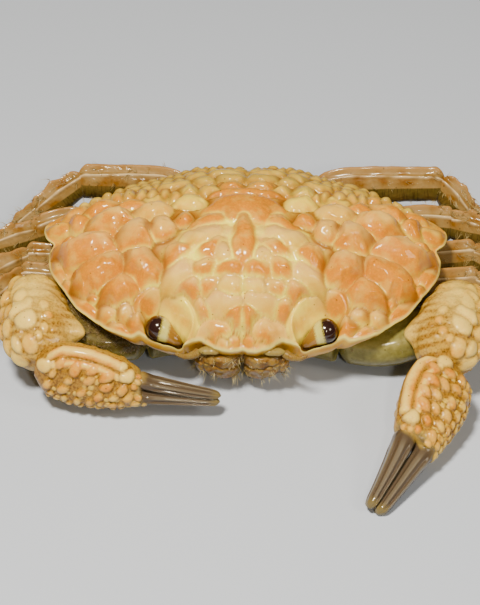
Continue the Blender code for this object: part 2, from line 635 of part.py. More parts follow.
def add_palm_knobs(palm, claw):
    """Rows of knobs on the outer face of the hand and along its lower edge."""
    _, _, _, edge, outer = hand_frame(claw)
    shares, uppers, lowers, thicks = np.array(PALM_STATIONS).T
    knobs = []
    for row, (height, radius) in enumerate(PALM_KNOB_ROWS):
        for share in PALM_KNOB_SHARES:
            along = share + (0.11 if row % 2 else 0.0)
            if along > 0.98:
                continue
            upper, lower = np.interp(along, shares, uppers), np.interp(along, shares, lowers)
            middle, half = (upper + lower) / 2, (upper - lower) / 2
            rise = np.clip((height - middle) / half, -0.97, 0.97)
            depth = np.interp(along, shares, thicks) * math.sqrt(1 - rise**2)
            offset = edge * (middle + rise * half) + outer * (depth - radius * 0.3)
            knobs.append(knob(hand_point(claw, along) + offset * claw["size"], radius))
    combine(palm, knobs, "UNION", "MANIFOLD")


def add_carpus_knobs(carpus, claw, side):
    """The pointed inner tooth of the wrist and the knobs over its outer side."""
    path = np.array(claw["carpus"])
    lengths = np.concatenate([[0], np.cumsum(np.linalg.norm(np.diff(path, axis=0), axis=1))])
    pieces = []
    middle = (path[1] + path[2]) / 2
    tooth = np.array(claw["tooth"])
    toward = unit(tooth - middle)
    front = unit(np.cross(toward, (0, 0, 1)))
    across, upward = oval(8)
    rings = []
    for share, radius in ((0.2, 3.2), (0.6, 2.2), (0.9, 1.0), (1.0, 0.5)):
        centre = middle + (tooth - middle) * share
        rings.append(centre + np.outer(across * radius, front) + np.outer(upward * radius, (0, 0, 1)))
    pieces.append(ring_solid("tooth", rings, "shell"))
    for row, degrees in enumerate(CARPUS_KNOB_BEARINGS):
        angle = math.radians(degrees)
        for share in CARPUS_KNOB_SHARES:
            along = min(share + (0.08 if row % 2 else 0.0), 0.95)
            at = along * lengths[-1]
            centre = np.array([np.interp(at, lengths, path[:, k]) for k in range(3)])
            spread = np.linspace(0, 1, len(CARPUS_SIZE[0]))
            wide = np.interp(along, spread, CARPUS_SIZE[0])
            high = np.interp(along, spread, CARPUS_SIZE[1])
            place = centre + np.array((side * math.cos(angle) * wide, 0, math.sin(angle) * high))
            inward = unit(centre - place) * CARPUS_KNOB_RADIUS * 0.35
            pieces.append(knob(place + inward, CARPUS_KNOB_RADIUS))
    combine(carpus, pieces, "UNION", "MANIFOLD")


def make_cheliped(name, claw, side):
    """The claw limb: base, upper arm, wrist, hand with its fixed finger, and moving finger."""
    section = oval(14)
    shares = (0.0, 0.12, 0.35, 0.6, 0.85, 1.0)
    up = (0, 0.1, 1)
    base = loft(f"{name}_base", claw["base"], *CLAW_BASE_SIZE, up, side, "belly", section, shares)
    merus = loft(f"{name}_merus", claw["merus"], *CLAW_MERUS_SIZE, up, side, "belly", section, shares)
    wrist_shares = (0.0, 0.08, 0.25, 0.45, 0.65, 0.82, 0.94, 1.0)
    carpus = loft(f"{name}_carpus", claw["carpus"], *CARPUS_SIZE, up, side, "shell", section,
                  wrist_shares)
    palm = make_hand_solid(f"{name}_palm", claw, PALM_STATIONS, "shell")
    finger = make_hand_solid(f"{name}_finger", claw, FINGER_STATIONS, "finger")
    add_carpus_knobs(carpus, claw, side)
    add_palm_knobs(palm, claw)

    arm, wrist, hand = (np.array(claw[k]) for k in ("merus", "carpus", "hand"))
    part_at(base, merus, arm[0], arm[0] - np.array(claw["base"][0]), arm[1] - arm[0])
    trim(merus, carpus)
    part_at(carpus, palm, hand[0], wrist[-1] - wrist[-2], hand[1] - hand[0])
    for piece in (palm, finger):
        clip(piece, (0, 0, 0), (0, 0, -1))
    return [base, merus, carpus, palm, finger]


def build():
    for obj in list(bpy.data.objects):
        bpy.data.objects.remove(obj)
    sides = {"left": 1, "right": -1}
    carapace = make_carapace()
    eyes = [make_eye(f"eye_{name}", side) for name, side in sides.items()]
    combine(carapace, [grown(eye, SOCKET_CLEARANCE) for eye in eyes], "DIFFERENCE")
    abdomen = make_abdomen()
    trim(abdomen, carapace)
    sternum = make_breastplate()
    trim(sternum, abdomen)
    for name, side in sides.items():
        trim(make_maxilliped(f"maxilliped_{name}", side), carapace)
        trim(make_antennule(f"antennule_{name}", side), carapace)
        trim(make_feeler(f"antenna_{name}", side), carapace)
        pieces = make_cheliped(f"cheliped_{name}", CLAWS[name], side)
        trim(pieces[0], carapace, sternum)
        trim(pieces[1], carapace)
        trim(pieces[2], carapace)
    for name, points in LEGS.items():
        side = sides[name.split("_")[1]]
        trim(make_leg(name, points, side)[0], carapace, sternum, abdomen)


build()
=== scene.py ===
"""Looks of a lobed reef crab, a still museum model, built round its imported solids.

Sizes are in millimetres, as in the solids, and become metres when a mesh is made. The crab
faces -Y, +Z is up and +X is the crab's left. Each section makes one piece or one group of
like pieces.
"""
import math

import bpy
import numpy as np
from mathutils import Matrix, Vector


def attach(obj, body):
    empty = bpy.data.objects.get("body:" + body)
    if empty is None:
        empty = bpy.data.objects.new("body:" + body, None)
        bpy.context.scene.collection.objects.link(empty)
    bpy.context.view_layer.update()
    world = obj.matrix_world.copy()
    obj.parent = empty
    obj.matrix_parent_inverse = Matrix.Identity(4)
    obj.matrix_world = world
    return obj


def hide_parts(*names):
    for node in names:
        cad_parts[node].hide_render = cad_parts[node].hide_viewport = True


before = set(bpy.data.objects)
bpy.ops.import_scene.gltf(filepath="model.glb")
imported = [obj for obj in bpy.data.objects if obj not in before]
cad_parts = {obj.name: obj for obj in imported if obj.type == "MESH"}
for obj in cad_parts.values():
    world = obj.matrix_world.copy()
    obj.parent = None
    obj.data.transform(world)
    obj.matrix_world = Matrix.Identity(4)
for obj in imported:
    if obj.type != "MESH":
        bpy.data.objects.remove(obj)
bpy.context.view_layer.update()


# Viewpoint
# The photograph looks down at 40 degrees from in front, a little to the crab's left, through
# a long lens close to the subject.
MM = 0.001
PHOTO_HEIGHT_PX = 605
FOCAL_PX = 2230
AIM = np.array((-0.56, -5.5, 7.5))
DISTANCE = 330.0
ELEVATION = math.radians(40.0)
AZIMUTH = math.radians(1.5)

camera_data = bpy.data.cameras.new("camera")
camera_data.sensor_fit = "AUTO"
camera_data.sensor_width = 36.0
camera_data.lens = camera_data.sensor_width * FOCAL_PX / PHOTO_HEIGHT_PX
camera_data.clip_start = 0.01
camera = bpy.data.objects.new("camera", camera_data)
backward = Vector((math.cos(ELEVATION) * math.sin(AZIMUTH), -math.cos(ELEVATION) * math.cos(AZIMUTH),
                   math.sin(ELEVATION)))
camera.location = Vector(AIM * MM) + backward * DISTANCE * MM
camera.rotation_euler = backward.to_track_quat("Z", "Y").to_euler()
bpy.context.scene.collection.objects.link(camera)
bpy.context.scene.camera = camera


# Floor and studio light
# A matt paper sweep lies under the model. Two soft boxes in front leave small bright
# highlights on the wet shell, and a wide one overhead fills the shadows.
def linear(hex_colour):
    """Turns an sRGB hex colour into linear red, green, blue and alpha 1."""
    channels = [int(hex_colour[i:i + 2], 16) / 255 for i in (1, 3, 5)]
    return (*[c / 12.92 if c <= 0.04045 else ((c + 0.055) / 1.055) ** 2.4 for c in channels], 1.0)


def add_node(tree, kind, settings=None, **links):
    """Adds a node, sets its properties and sockets, and joins its inputs to other outputs."""
    made = tree.nodes.new(kind)
    for key, value in (settings or {}).items():
        if isinstance(key, int) or key in made.inputs:
            made.inputs[key].default_value = value
        else:
            setattr(made, key, value)
    for key, output in links.items():
        socket = made.inputs[int(key[1:])] if key[0] == "i" and key[1:].isdigit() else made.inputs[key]
        tree.links.new(output, socket)
    return made


def plain_material(name, settings):
    """A Principled material whose sockets are all set to constants."""
    material = bpy.data.materials.new(name)
    material.use_nodes = True
    shader = material.node_tree.nodes["Principled BSDF"]
    for key, value in settings.items():
        shader.inputs[key].default_value = value
    return material


FLOOR_REACH = 3.0  # metres
floor_mesh = bpy.data.meshes.new("floor")
floor_corners = [(FLOOR_REACH * x, FLOOR_REACH * y, 0) for x, y in ((-1, -1), (1, -1), (1, 1), (-1, 1))]
floor_mesh.from_pydata(floor_corners, [], [(0, 1, 2, 3)])
floor = bpy.data.objects.new("floor", floor_mesh)
floor_mesh.materials.append(plain_material("matt paper", {
    "Base Color": linear("#BEC8E2"), "Roughness": 0.9, "Specular IOR Level": 0.2}))
bpy.context.scene.collection.objects.link(floor)

LIGHTS = {  # place in mm, size in mm, power in watts
    "key": ((-70, -150, 360), 60, 2.8),
    "front": ((60, -330, 260), 25, 0.4),
    "fill": ((230, -160, 240), 90, 0.3),
}
LIGHTS_AIM = Vector((0, 0, 0.008))
WARM_WHITE = (1.0, 0.90, 0.68)
WORLD_STRENGTH = 0.06
for light_name, (place, size, power) in LIGHTS.items():
    light_data = bpy.data.lights.new(light_name, "AREA")
    light_data.size = size * MM
    light_data.energy = power
    light_data.color = WARM_WHITE
    light = bpy.data.objects.new(light_name, light_data)
    light.location = Vector(place) * MM
    light.rotation_euler = (light.location - LIGHTS_AIM).to_track_quat("Z", "Y").to_euler()
    bpy.context.scene.collection.objects.link(light)
world = bpy.data.worlds.new("studio")
world.use_nodes = True
sky = world.node_tree.nodes["Background"].inputs
sky["Color"].default_value = (*WARM_WHITE, 1.0)
sky["Strength"].default_value = WORLD_STRENGTH
bpy.context.scene.world = world


# Carapace
# The broad back shell of chitin and lime, swollen into smooth lobes parted by narrow grooves.
# Its front and sides end in a thin pale rim cut into lobes, and the eyes sit in sockets.
HALF_WIDTH = 30.2
HALF_DEPTH = 19.1
CROWN_HEIGHT = 17.9
BODY_BASE = 3.8
GRID_ACROSS = 350
GRID_ALONG = 230
OUTLINE = np.array([
    (0.0, -18.8), (1.9, -19.2), (3.9, -18.5), (6.1, -17.2), (8.4, -17.9), (11.5, -17.9),
    (14.0, -16.8), (16.4, -17.1), (19.2, -16.1), (21.6, -14.2), (24.1, -12.1), (26.0, -9.0),
    (28.3, -5.3), (29.0, -1.5), (28.5, 0.9), (29.7, 2.2), (30.15, 4.0), (29.6, 5.7),
    (27.6, 7.7), (24.3, 10.0), (19.3, 13.5), (14.0, 15.8), (10.8, 17.4), (8.6, 18.7),
    (4.3, 19.2), (0.0, HALF_DEPTH),
])
EDGE_BEARINGS = (-90.0, -60.0, -35.0, -10.0, 8.0, 40.0, 90.0)
EDGE_HEIGHTS = (9.6, 9.8, 10.7, 12.0, 12.9, 13.5, 13.5)
UNDER_BEARINGS = (-90.0, -66.0, -50.0, -38.0, -15.0, 25.0, 60.0, 90.0)
UNDER_RINGS = (  # shares of the outline's radius by bearing, drop below the edge or else height
    ((0.996, 0.998, 1.0, 0.996, 0.996, 0.996, 0.996, 0.996), -0.2, None),
    ((0.985, 0.992, 1.0, 0.985, 0.985, 0.985, 0.985, 0.985), -0.65, None),
    ((0.965, 0.985, 1.0, 0.955, 0.95, 0.95, 0.95, 0.965), -1.05, None),
    ((0.94, 0.97, 0.995, 0.92, 0.92, 0.91, 0.90, 0.93), -1.6, None),
    ((0.91, 0.95, 0.965, 0.88, 0.84, 0.83, 0.83, 0.90), -2.3, None),
    ((0.88, 0.92, 0.91, 0.84, 0.76, 0.74, 0.76, 0.86), -3.2, None),
    ((0.85, 0.86, 0.80, 0.72, 0.60, 0.58, 0.64, 0.79), None, 7.6),
    ((0.82, 0.79, 0.68, 0.60, 0.46, 0.44, 0.52, 0.72), None, 6.2),
    ((0.80, 0.75, 0.64, 0.56, 0.43, 0.42, 0.50, 0.69), None, 5.0),
    ((0.78, 0.71, 0.60, 0.53, 0.41, 0.40, 0.48, 0.66), None, BODY_BASE),
)

# Lobes: centre x, y, half length, half width, turn, height, then how orange and how pink.
# Lobes off the midline have a mirror image. The first is the swollen middle of the shell,
# which carries small lobes of its own.
MAIN_LOBES = {
    "gastric": (0.0, -6.5, 12.5, 10.8, 0, 1.6, 0.35, 0.5),
    "epigastric": (4.3, -17.0, 2.7, 1.3, 6, 0.95, 0.55, 0.6),
    "supraorbital": (8.9, -15.0, 3.2, 1.6, 30, 0.95, -0.3, -0.4),
    "postorbital": (13.6, -12.9, 1.8, 1.3, -22, 0.8, 0.85, 0.1),
    "orbital_corner": (15.2, -15.9, 1.3, 1.1, 20, 0.6, 0.9, 0.1),
    "hepatic_inner": (16.9, -14.7, 1.25, 1.05, 0, 0.8, 0.3, 0.85),
    "hepatic_outer": (19.6, -14.2, 1.35, 1.05, 10, 0.8, 0.3, 0.85),
    "hepatic_oval": (17.7, -11.8, 3.1, 1.9, -4, 1.7, 1.0, 0.1),
    "branchial_front": (21.1, -8.4, 4.0, 2.8, -33, 1.9, 1.0, 0.15),
    "branchial_inner": (14.7, -8.6, 4.1, 2.5, 65, 1.8, 0.8, 0.45),
    "branchial_side": (23.4, -3.2, 4.5, 2.7, 17, 1.8, 0.7, 0.7),
    "branchial_knob": (26.0, -0.6, 1.3, 1.1, 0, 1.0, 0.9, 0.1),
    "branchial_mid": (15.6, -3.0, 2.7, 3.1, -20, 1.8, 0.55, 0.75),
    "branchial_rear": (20.0, 1.3, 3.4, 2.4, -8, 1.6, 0.6, 0.6),
    "branchial_medial": (11.9, -1.9, 2.2, 2.6, 10, 1.5, 0.4, 0.85),
    "metabranchial": (8.7, -0.3, 2.1, 1.9, -40, 1.35, 0.9, 0.1),
    "metabranchial_rear": (13.6, 2.5, 2.9, 1.9, 10, 1.25, 0.25, 0.85),
    "tooth_root": (24.6, 2.7, 1.6, 1.7, 0, 1.1, 0.95, 0.1),
    "rear_border": (21.6, 5.1, 3.0, 1.7, -28, 1.2, 1.0, 0.1),
    "rear_border_inner": (17.0, 5.0, 2.4, 1.5, -10, 0.95, 0.7, 0.3),
    "rear_border_end": (25.4, 6.2, 1.7, 1.2, -30, 0.7, 0.8, 0.2),
    "cream_front": (8.1, 4.3, 2.5, 1.8, 15, 1.1, 0.02, 0.1),
    "cream_side": (13.4, 6.6, 2.4, 1.4, -8, 0.95, 0.1, 0.35),
    "cream_rear": (8.8, 8.0, 2.2, 1.5, -10, 1.0, 0.02, 0.1),
    "cream_tail": (10.9, 10.9, 2.2, 1.4, -18, 0.9, 0.15, 0.15),
    "cream_edge": (6.4, 11.8, 1.8, 1.2, 10, 0.75, 0.05, 0.15),
    "urogastric": (0.0, 6.7, 5.0, 1.1, 0, 0.95, 0.9, 0.1),
    "cardiac": (2.3, 9.1, 2.6, 1.1, 4, 0.9, 0.7, 0.2),
    "cardiac_wing": (5.6, 8.4, 1.9, 1.3, -20, 0.85, 0.15, 0.3),
    "intestinal": (2.2, 12.3, 2.5, 1.2, 0, 0.8, 0.2, 0.25),
    "intestinal_rear": (3.4, 15.0, 2.6, 1.4, -4, 0.8, 0.1, 0.25),
    "intestinal_side": (8.2, 13.6, 2.2, 1.3, -22, 0.8, 0.1, 0.2),
    "rostral_1": (1.1, -18.2, 0.9, 0.5, 0, 0.4, 0.9, 0.1),
    "rostral_2": (2.8, -18.4, 1.0, 0.45, 8, 0.35, 0.6, 0.4),
    "rostral_3": (4.7, -17.9, 0.9, 0.4, 32, 0.35, 0.7, 0.2),
    "rim_1": (18.4, -16.6, 2.5, 0.85, 22, 0.45, 0.9, 0.1),
    "rim_2": (23.4, -12.0, 3.0, 0.95, 41, 0.45, 0.85, 0.1),
    "rim_2_knob": (21.7, -11.6, 1.1, 0.7, 35, 0.5, 0.9, 0.1),
    "rim_3": (27.2, -5.4, 2.4, 0.95, 76, 0.5, 0.8, 0.1),
    "rim_3_knob": (25.9, -8.3, 1.0, 0.7, 55, 0.5, 0.85, 0.1),
    "tooth": (27.9, 3.0, 1.8, 1.2, 25, 0.5, 0.7, 0.05),
}
GASTRIC_LOBES = {
    "tongue": (0.0, -5.6, 5.4, 1.2, 90, 0.42, 1.9, -0.5),
    "crown": (0.0, 1.2, 5.4, 3.0, 0, 0.5, 1.6, -0.4),
    "crown_side": (5.6, -1.7, 2.6, 1.8, -36, 0.45, 0.9, 0.2),
    "shoulder_rear": (6.4, -5.2, 3.0, 2.0, -34, 0.45, 0.1, 1.0),
    "shoulder_outer": (9.6, -8.0, 2.5, 1.9, -62, 0.5, 0.85, 0.2),
    "shoulder_inner": (4.7, -7.6, 1.8, 1.3, -30, 0.4, 0.75, 0.3),
    "inner": (2.9, -9.1, 1.7, 1.3, 70, 0.4, 0.15, 0.9),
    "tile_side": (5.5, -10.7, 1.3, 1.1, 0, 0.38, 0.8, 0.1),
    "tile_middle": (2.1, -11.1, 1.9, 1.1, 0, 0.4, 0.85, 0.1),
    "cheek": (9.8, -11.0, 2.2, 1.7, -20, 0.45, 0.1, 1.0),
    "oval": (8.5, -13.4, 2.2, 1.4, -16, 0.65, 0.9, 0.3),
    "tile_front": (4.8, -12.8, 1.3, 0.9, 0, 0.35, 0.75, 0.2),
    "tile_front_inner": (1.8, -13.1, 1.7, 0.9, 0, 0.3, 0.2, 0.6),
    "wing": (2.9, -14.8, 2.5, 1.2, 0, 0.5, 0.2, 0.9),
    "wing_outer": (5.9, -15.2, 1.6, 1.2, 20, 0.6, 1.2, -0.2),
    "wing_inner": (1.5, -16.7, 1.7, 1.2, -12, 0.8, 1.7, -0.5),
}
FLANK_RIBS = 6
FLANK_RIB_FIRST = (19.4, 9.0)
FLANK_RIB_LAST = (10.4, 7.0)
FLANK_RIB = (0.95, 1.9, 0, 0.9, 0.25, 0.3)  # the same figures as a lobe's, past its centre
REAR_KNOB_ROWS = (  # share of the outline's radius, first and last bearing, count, radius
    (0.95, 20.0, 86.0, 17, 0.85), (0.875, 28.0, 84.0, 11, 1.1), (0.8, 36.0, 52.0, 4, 1.2),
)
KNOB_HEIGHT = 0.6
RIM_WIDTH = 0.17
RIM_LIFT = 0.2
RIM_END_DEGREES = 12  # bearing where the rim has faded out
UNDER_FIELDS = {"orange": 0.6, "shade": 0.4}  # colour fields below the edge; the shade there is painted shade under the rim
SWELLING = 1.8
FULLNESS = 1.22  # how far past its oval a lobe spreads where no neighbour stops it
LOBE_PROFILE = 0.55  # under 1 makes a lobe steep at its wall and flat on top
LOBE_POWER = 2.3  # 2 is an ellipse, more is squarer
CORNERING = 6  # how sharply a lobe's walls meet
FAN_Y = -24  # the lobes' rear and outer sides are those that face away from here on the midline
FACE_REAR_Y, FACE_HALF_WIDTH = -10, 16  # the face: forward of this, out to just past the sockets
FACE_MIDLINE_Y = -9.5  # the furrow along the midline runs forward from here
REAR_Y = 3.5  # behind this pale grooves fade, and painted shade in the gaps and the painted shade of the rear begin
SLIT_Y, SLIT_BEND, SLIT_HALF_LENGTH = 10.6, 0.07, 4.6  # curved furrow behind the heart region
MIDDLE_RISE = 1.4  # factor on the height of the middle's small lobes
EDGE_FADE = 0.7  # the swellings sink over this distance towards the edge
SOCKET_LIP_Y = -17.9  # the raised collar of a socket has faded out here
SOCKET_BLEND = 5  # sharpness of the edge between shell and socket

EYE_ROOT = np.array((9.1, -17.1, 9.6))
EYE_TIP = np.array((12.0, -15.8, 11.1))
EYE_RADII = (0.85, 1.5, 1.8)
SOCKET_CLEARANCE = 0.2


def curve_through(points, steps):
    """Catmull-Rom curve through the points, its ends continued in a straight line."""
    points = np.vstack([2 * points[0] - points[1], points, 2 * points[-1] - points[-2]])
    t = np.linspace(0, 1, steps, endpoint=False)[:, None]
    pieces = [
        0.5 * (2 * b + (c - a) * t + (2 * a - 5 * b + 4 * c - d) * t**2
               + (3 * b - a - 3 * c + d) * t**3)
        for a, b, c, d in zip(points[:-3], points[1:-2], points[2:-1], points[3:])
    ]
    return np.vstack([*pieces, points[-2:-1]])


edge_curve = curve_through(OUTLINE, 24)
edge_angle = np.arctan2(edge_curve[:, 1], np.abs(edge_curve[:, 0]))
edge_radius = np.hypot(edge_curve[:, 0], edge_curve[:, 1])


def bearing(x, y):
    """Angle from the side towards the rear, -90 degrees at the front, alike on both sides."""
    return np.arctan2(y, np.abs(x))


def outline_radius(x, y):
    return np.interp(bearing(x, y), edge_angle, edge_radius)


def held(value):
    """The value kept between 0 and 1."""
    return np.clip(value, 0, 1)


def bell(offset, width):
    """Bell curve that is 1 at no offset and 1/e at the width."""
    return np.exp(-((offset / width) ** 2))


def ripple(x, y, scale, seed):
    """Smooth random-looking field between about -1 and 1: five crossed sine waves."""
    draw = np.random.default_rng(seed)
    total = np.zeros_like(x)
    for _ in range(5):
        angle, phase = draw.uniform(0, 2 * math.pi, 2)
        size = draw.uniform(0.7, 1.4) * scale
        total += np.sin((x * math.cos(angle) + y * math.sin(angle)) * 2 * math.pi / size + phase)
    return total / 2.5


def press_together(q, sizes, heights, fullness):
    """Swollen lobes that press on each other: height, depth in the lobe, own limit, which lobe.

    q holds each point's share of the way to each lobe's oval. A point belongs to the lobe with
    the least q. Its depth is its distance from the wall shared with the next lobe, or from the
    lobe's own limit, and the height rises with depth as h (1 - (1 - d)^2)^LOBE_PROFILE.
    """
    q = q.copy()
    point = np.arange(len(q))
    first = q.argmin(axis=1)
    nearest = q[point, first]
    q[point, first] = 99.0
    second = q.argmin(axis=1)
    next_nearest = q[point, second]
    wall = (next_nearest - nearest) / (1 / sizes[first] + 1 / sizes[second])
    own = (fullness - nearest) * sizes[first]
    depth = -np.log(np.exp(-CORNERING * wall) + np.exp(-CORNERING * own)) / CORNERING
    depth = np.clip(depth + 0.1, 0, None)
    share = held(depth / sizes[first])
    return heights[first] * (1 - (1 - share) ** 2) ** LOBE_PROFILE, depth, own, first


def oval_shares(x, y, lobes):
    """Share of the way from each lobe's centre to its oval edge, for every point and lobe."""
    cx, cy, half_length, half_width, turn = lobes[:, :5].T
    c, s = np.cos(np.radians(turn)), np.sin(np.radians(turn))
    dx, dy = x[:, None] - cx, y[:, None] - cy
    along, across = (dx * c + dy * s) / half_length, (dy * c - dx * s) / half_width
    return (np.abs(along) ** LOBE_POWER + np.abs(across) ** LOBE_POWER) ** (1 / LOBE_POWER)


def lobe_layer(x, y, lobes):
    """Lobes over the shell from above: height, depth, own limit, lobe, orange, pink, forward, away.

    Each lobe is more orange towards the front, as forward says, and more pink towards the rear.
    Away is the share of the way from its centre to its rear and outer side.
    """
    q = oval_shares(x, y, lobes)
    sizes = np.sqrt(lobes[:, 2] * lobes[:, 3])
    raised, depth, own, first = press_together(q, sizes, lobes[:, 5], FULLNESS)
    forward = np.clip((lobes[first, 1] - y) / sizes[first], -1, 1)
    weight = 0.4 + 0.5 * lobes[first, 6]
    orange = held(lobes[first, 6] + weight * forward + 0.08)
    pink = held(0.8 * lobes[first, 7] - 0.9 * forward - 0.1)
    out = np.stack([0.8 * x, y - FAN_Y]) / np.hypot(0.8 * x, y - FAN_Y)
    away = ((x - lobes[first, 0]) * out[0] + (y - lobes[first, 1]) * out[1]) / sizes[first]
    return raised, depth, own, first, orange, pink, forward, np.clip(away, -1, 1)


def both_sides(lobes):
    """The lobes and the mirror images of those off the midline."""
    listed = list(lobes)
    mirrored = [(-x, y, a, b, -turn, *rest) for x, y, a, b, turn, *rest in listed if x > 0.01]
    return np.array(listed + mirrored)


flank_ribs = [(*(np.array(FLANK_RIB_FIRST) * (1 - s) + np.array(FLANK_RIB_LAST) * s), *FLANK_RIB)
              for s in np.linspace(0, 1, FLANK_RIBS)]
knob_draw = np.random.default_rng(11)
rear_knobs = []
for share, first, last, count, radius in REAR_KNOB_ROWS:
    for degrees in np.linspace(first, last, count):
        angle = math.radians(degrees + knob_draw.uniform(-1.2, 1.2))
        reach = share * np.interp(angle, edge_angle, edge_radius)
        size = radius * knob_draw.uniform(0.8, 1.15)
        rear_knobs.append((reach * math.cos(angle), reach * math.sin(angle), size * 1.15, size, degrees,
                           KNOB_HEIGHT * knob_draw.uniform(0.8, 1.1), 0.1, 0.25))


def eye_trough(x, y, grow):
    """Signed depth in plan inside an eye's grown outline, the eye's height, its grown radius."""
    start, end = EYE_ROOT[:2], EYE_TIP[:2]
    line = end - start
    share = held(((np.abs(x) - start[0]) * line[0] + (y - start[1]) * line[1]) / (line @ line))
    distance = np.hypot(np.abs(x) - start[0] - share * line[0], y - start[1] - share * line[1])
    radius = np.interp(share, (0, 0.5, 1), EYE_RADII) + grow
    height = EYE_ROOT[2] + (EYE_TIP[2] - EYE_ROOT[2]) * share
    return radius - distance, height, radius


def rimmed(degrees):
    """How much of the pale rim the edge has at a bearing: all in front, none behind the side teeth."""
    return held((RIM_END_DEGREES - degrees) / 6)


def soften(field):
    """Each value averaged with its four neighbours on the grid, twice, with weights 1, 2, 1."""
    for _ in range(2):
        padded = np.pad(field, 1, mode="edge")
        rows = (padded[:-2] + 2 * padded[1:-1] + padded[2:]) / 4
        field = (rows[:, :-2] + 2 * rows[:, 1:-1] + rows[:, 2:]) / 4
    return field


def shell_surface(x, y):
    """Upper surface: dome, lobes, rim and sockets. Returns its height and its colour fields."""
    reach = np.hypot(x, y)
    limit = outline_radius(x, y)
    share = held(reach / limit)
    inward = (1 - share) * limit
    degrees = np.degrees(bearing(x, y))
    edge = np.interp(degrees, EDGE_BEARINGS, EDGE_HEIGHTS)
    dome = edge + (CROWN_HEIGHT - edge) * (1 - share**2.5)

    shape = x.shape
    wx = (x + 0.22 * ripple(x, y, 5.0, 3) + 0.1 * ripple(x, y, 2.2, 4)).ravel()
    wy = (y + 0.22 * ripple(x, y, 5.0, 5) + 0.1 * ripple(x, y, 2.2, 6)).ravel()
    lobes = both_sides([*MAIN_LOBES.values(), *flank_ribs, *rear_knobs])
    relief, depth_in, own, first, orange, pink, forward, away = (
        v.reshape(shape) for v in lobe_layer(wx, wy, lobes))
    small, small_depth, small_own, _, small_orange, small_pink, small_forward, small_away = (
        v.reshape(shape) for v in lobe_layer(wx, wy, both_sides(GASTRIC_LOBES.values())))
    middle = first == 0
    relief = np.where(middle, relief + MIDDLE_RISE * small * held(depth_in / 0.5), relief)
    orange = np.where(middle, small_orange, orange)
    pink = np.where(middle, small_pink, pink)
    outside = np.clip(0.3 - own, 0, 0.6) / 0.6
    fore = held(0.45 + 0.55 * forward)
    face = held((FACE_REAR_Y - y) / 4) * held((FACE_HALF_WIDTH - np.abs(x)) / 2)
    groove = bell(depth_in, 0.28 + 0.12 * face * ~middle) * fore
    # The shade field is painted shade: a wide darker band on each lobe's rear and outer flank, the side that
    # faces away from the light, kept off the face.
    shade = bell(depth_in, 1.1) * held(0.2 + 1.1 * away) * (1 - outside) * (1 - face)
    # The crease field is painted shade: a thin dark line along each lobe's rear wall, where shadow would lie
    # in the crease.
    crease_shade = bell(depth_in, 0.15 + 0.15 * middle) * (1 - 0.6 * fore) * (1 - outside)
    small_fore = held(0.75 + 0.4 * small_forward)
    small_groove = bell(small_depth, 0.33) * small_fore
    midline = bell(x, 0.22) * held((FACE_MIDLINE_Y - y) / 1.5)
    groove = np.where(middle, np.maximum(groove, 0.95 * small_groove), groove)
    # In the middle, painted shade in the creases between its small lobes on the face.
    small_crease_shade = 0.5 * bell(small_depth, 0.2) * face * (small_own > 0.1)
    crease_shade = np.where(middle, np.maximum(crease_shade, small_crease_shade), crease_shade)
    small_shade = bell(small_depth, 0.6) * held(small_away) * (y > -14)
    # Painted shade along the outer and rear edge of the swollen middle.
    dome_edge_shade = bell(depth_in, 1.0) * np.clip(0.7 + 1.2 * away, 0, 1.1) * (1 - face)
    shade = np.where(middle, np.maximum(dome_edge_shade, 0.45 * small_shade), shade)
    groove = np.maximum(groove, 0.8 * midline)
    slit = bell(y - SLIT_Y + SLIT_BEND * x**2, 0.3) * held(SLIT_HALF_LENGTH - np.abs(x))
    behind = held((y - REAR_Y) / 3) * (1 - outside)
    # The curved furrow and the gaps between the rear knobs get the same painted shade.
    crease_shade = np.maximum(np.maximum(crease_shade, slit), 0.65 * behind * bell(depth_in, 0.3))
    groove *= 1 - 0.9 * behind
    groove *= held(0.75 + 0.5 * ripple(x, y, 3.3, 24)) * (1 - 0.95 * outside)
    groove *= np.clip(inward / 1.2, 0.15, 1)
    orange = orange * (1 - outside) + 0.85 * outside
    pink = pink * (1 - outside)
    orange, pink, shade = (soften(v) for v in (orange, pink, shade))
    top = soften(relief) * SWELLING

    fade = held(inward / EDGE_FADE)
    height = dome + (top - 0.5 * slit) * (0.25 + 0.75 * fade)
    height += RIM_LIFT * bell(inward - 0.14, RIM_WIDTH) * rimmed(degrees)
    rim = 0.85 * bell(inward, RIM_WIDTH) * rimmed(degrees)
    # Painted shade: the shell grows darker towards the rear, which faces away from the light, less so where
    # it is orange.
    rear = held((y - REAR_Y) / 8) * (1.25 - 0.75 * orange)

    depth, eye_height, radius = eye_trough(x, y, SOCKET_CLEARANCE)
    collar = bell(depth + 0.9, 0.5)
    height += 0.4 * collar * held((y - SOCKET_LIP_Y) / 1.2)
    bowl = eye_height - np.sqrt(np.clip(radius**2 - np.clip(radius - depth, 0, None) ** 2, 0, None))
    funnel = eye_height + 0.3 - 2.4 * np.minimum(depth, 0)
    ceiling = np.where(depth > 0, bowl, funnel)
    lower = -np.log(np.exp(-SOCKET_BLEND * height) + np.exp(-SOCKET_BLEND * ceiling)) / SOCKET_BLEND
    height = np.where(depth > -2.5, lower, height)
    socket = held((depth + 0.1) / 0.3)
    orange = np.maximum(orange, collar * 0.5)
    groove *= 1 - 0.6 * collar
    pucker = held(ripple(x, y, 4.0, 23) - 0.2) * held(depth_in / 0.6)
    height += 0.04 * ripple(x, y, 3.1, 22) + (0.015 + 0.09 * pucker) * ripple(x, y, 0.85, 21)
    return height, {"orange": orange, "pink": pink, "groove": groove, "rear": 0.6 * rear,
                    "shade": 0.95 * shade, "crease_shade": crease_shade, "rim": rim, "socket": socket}


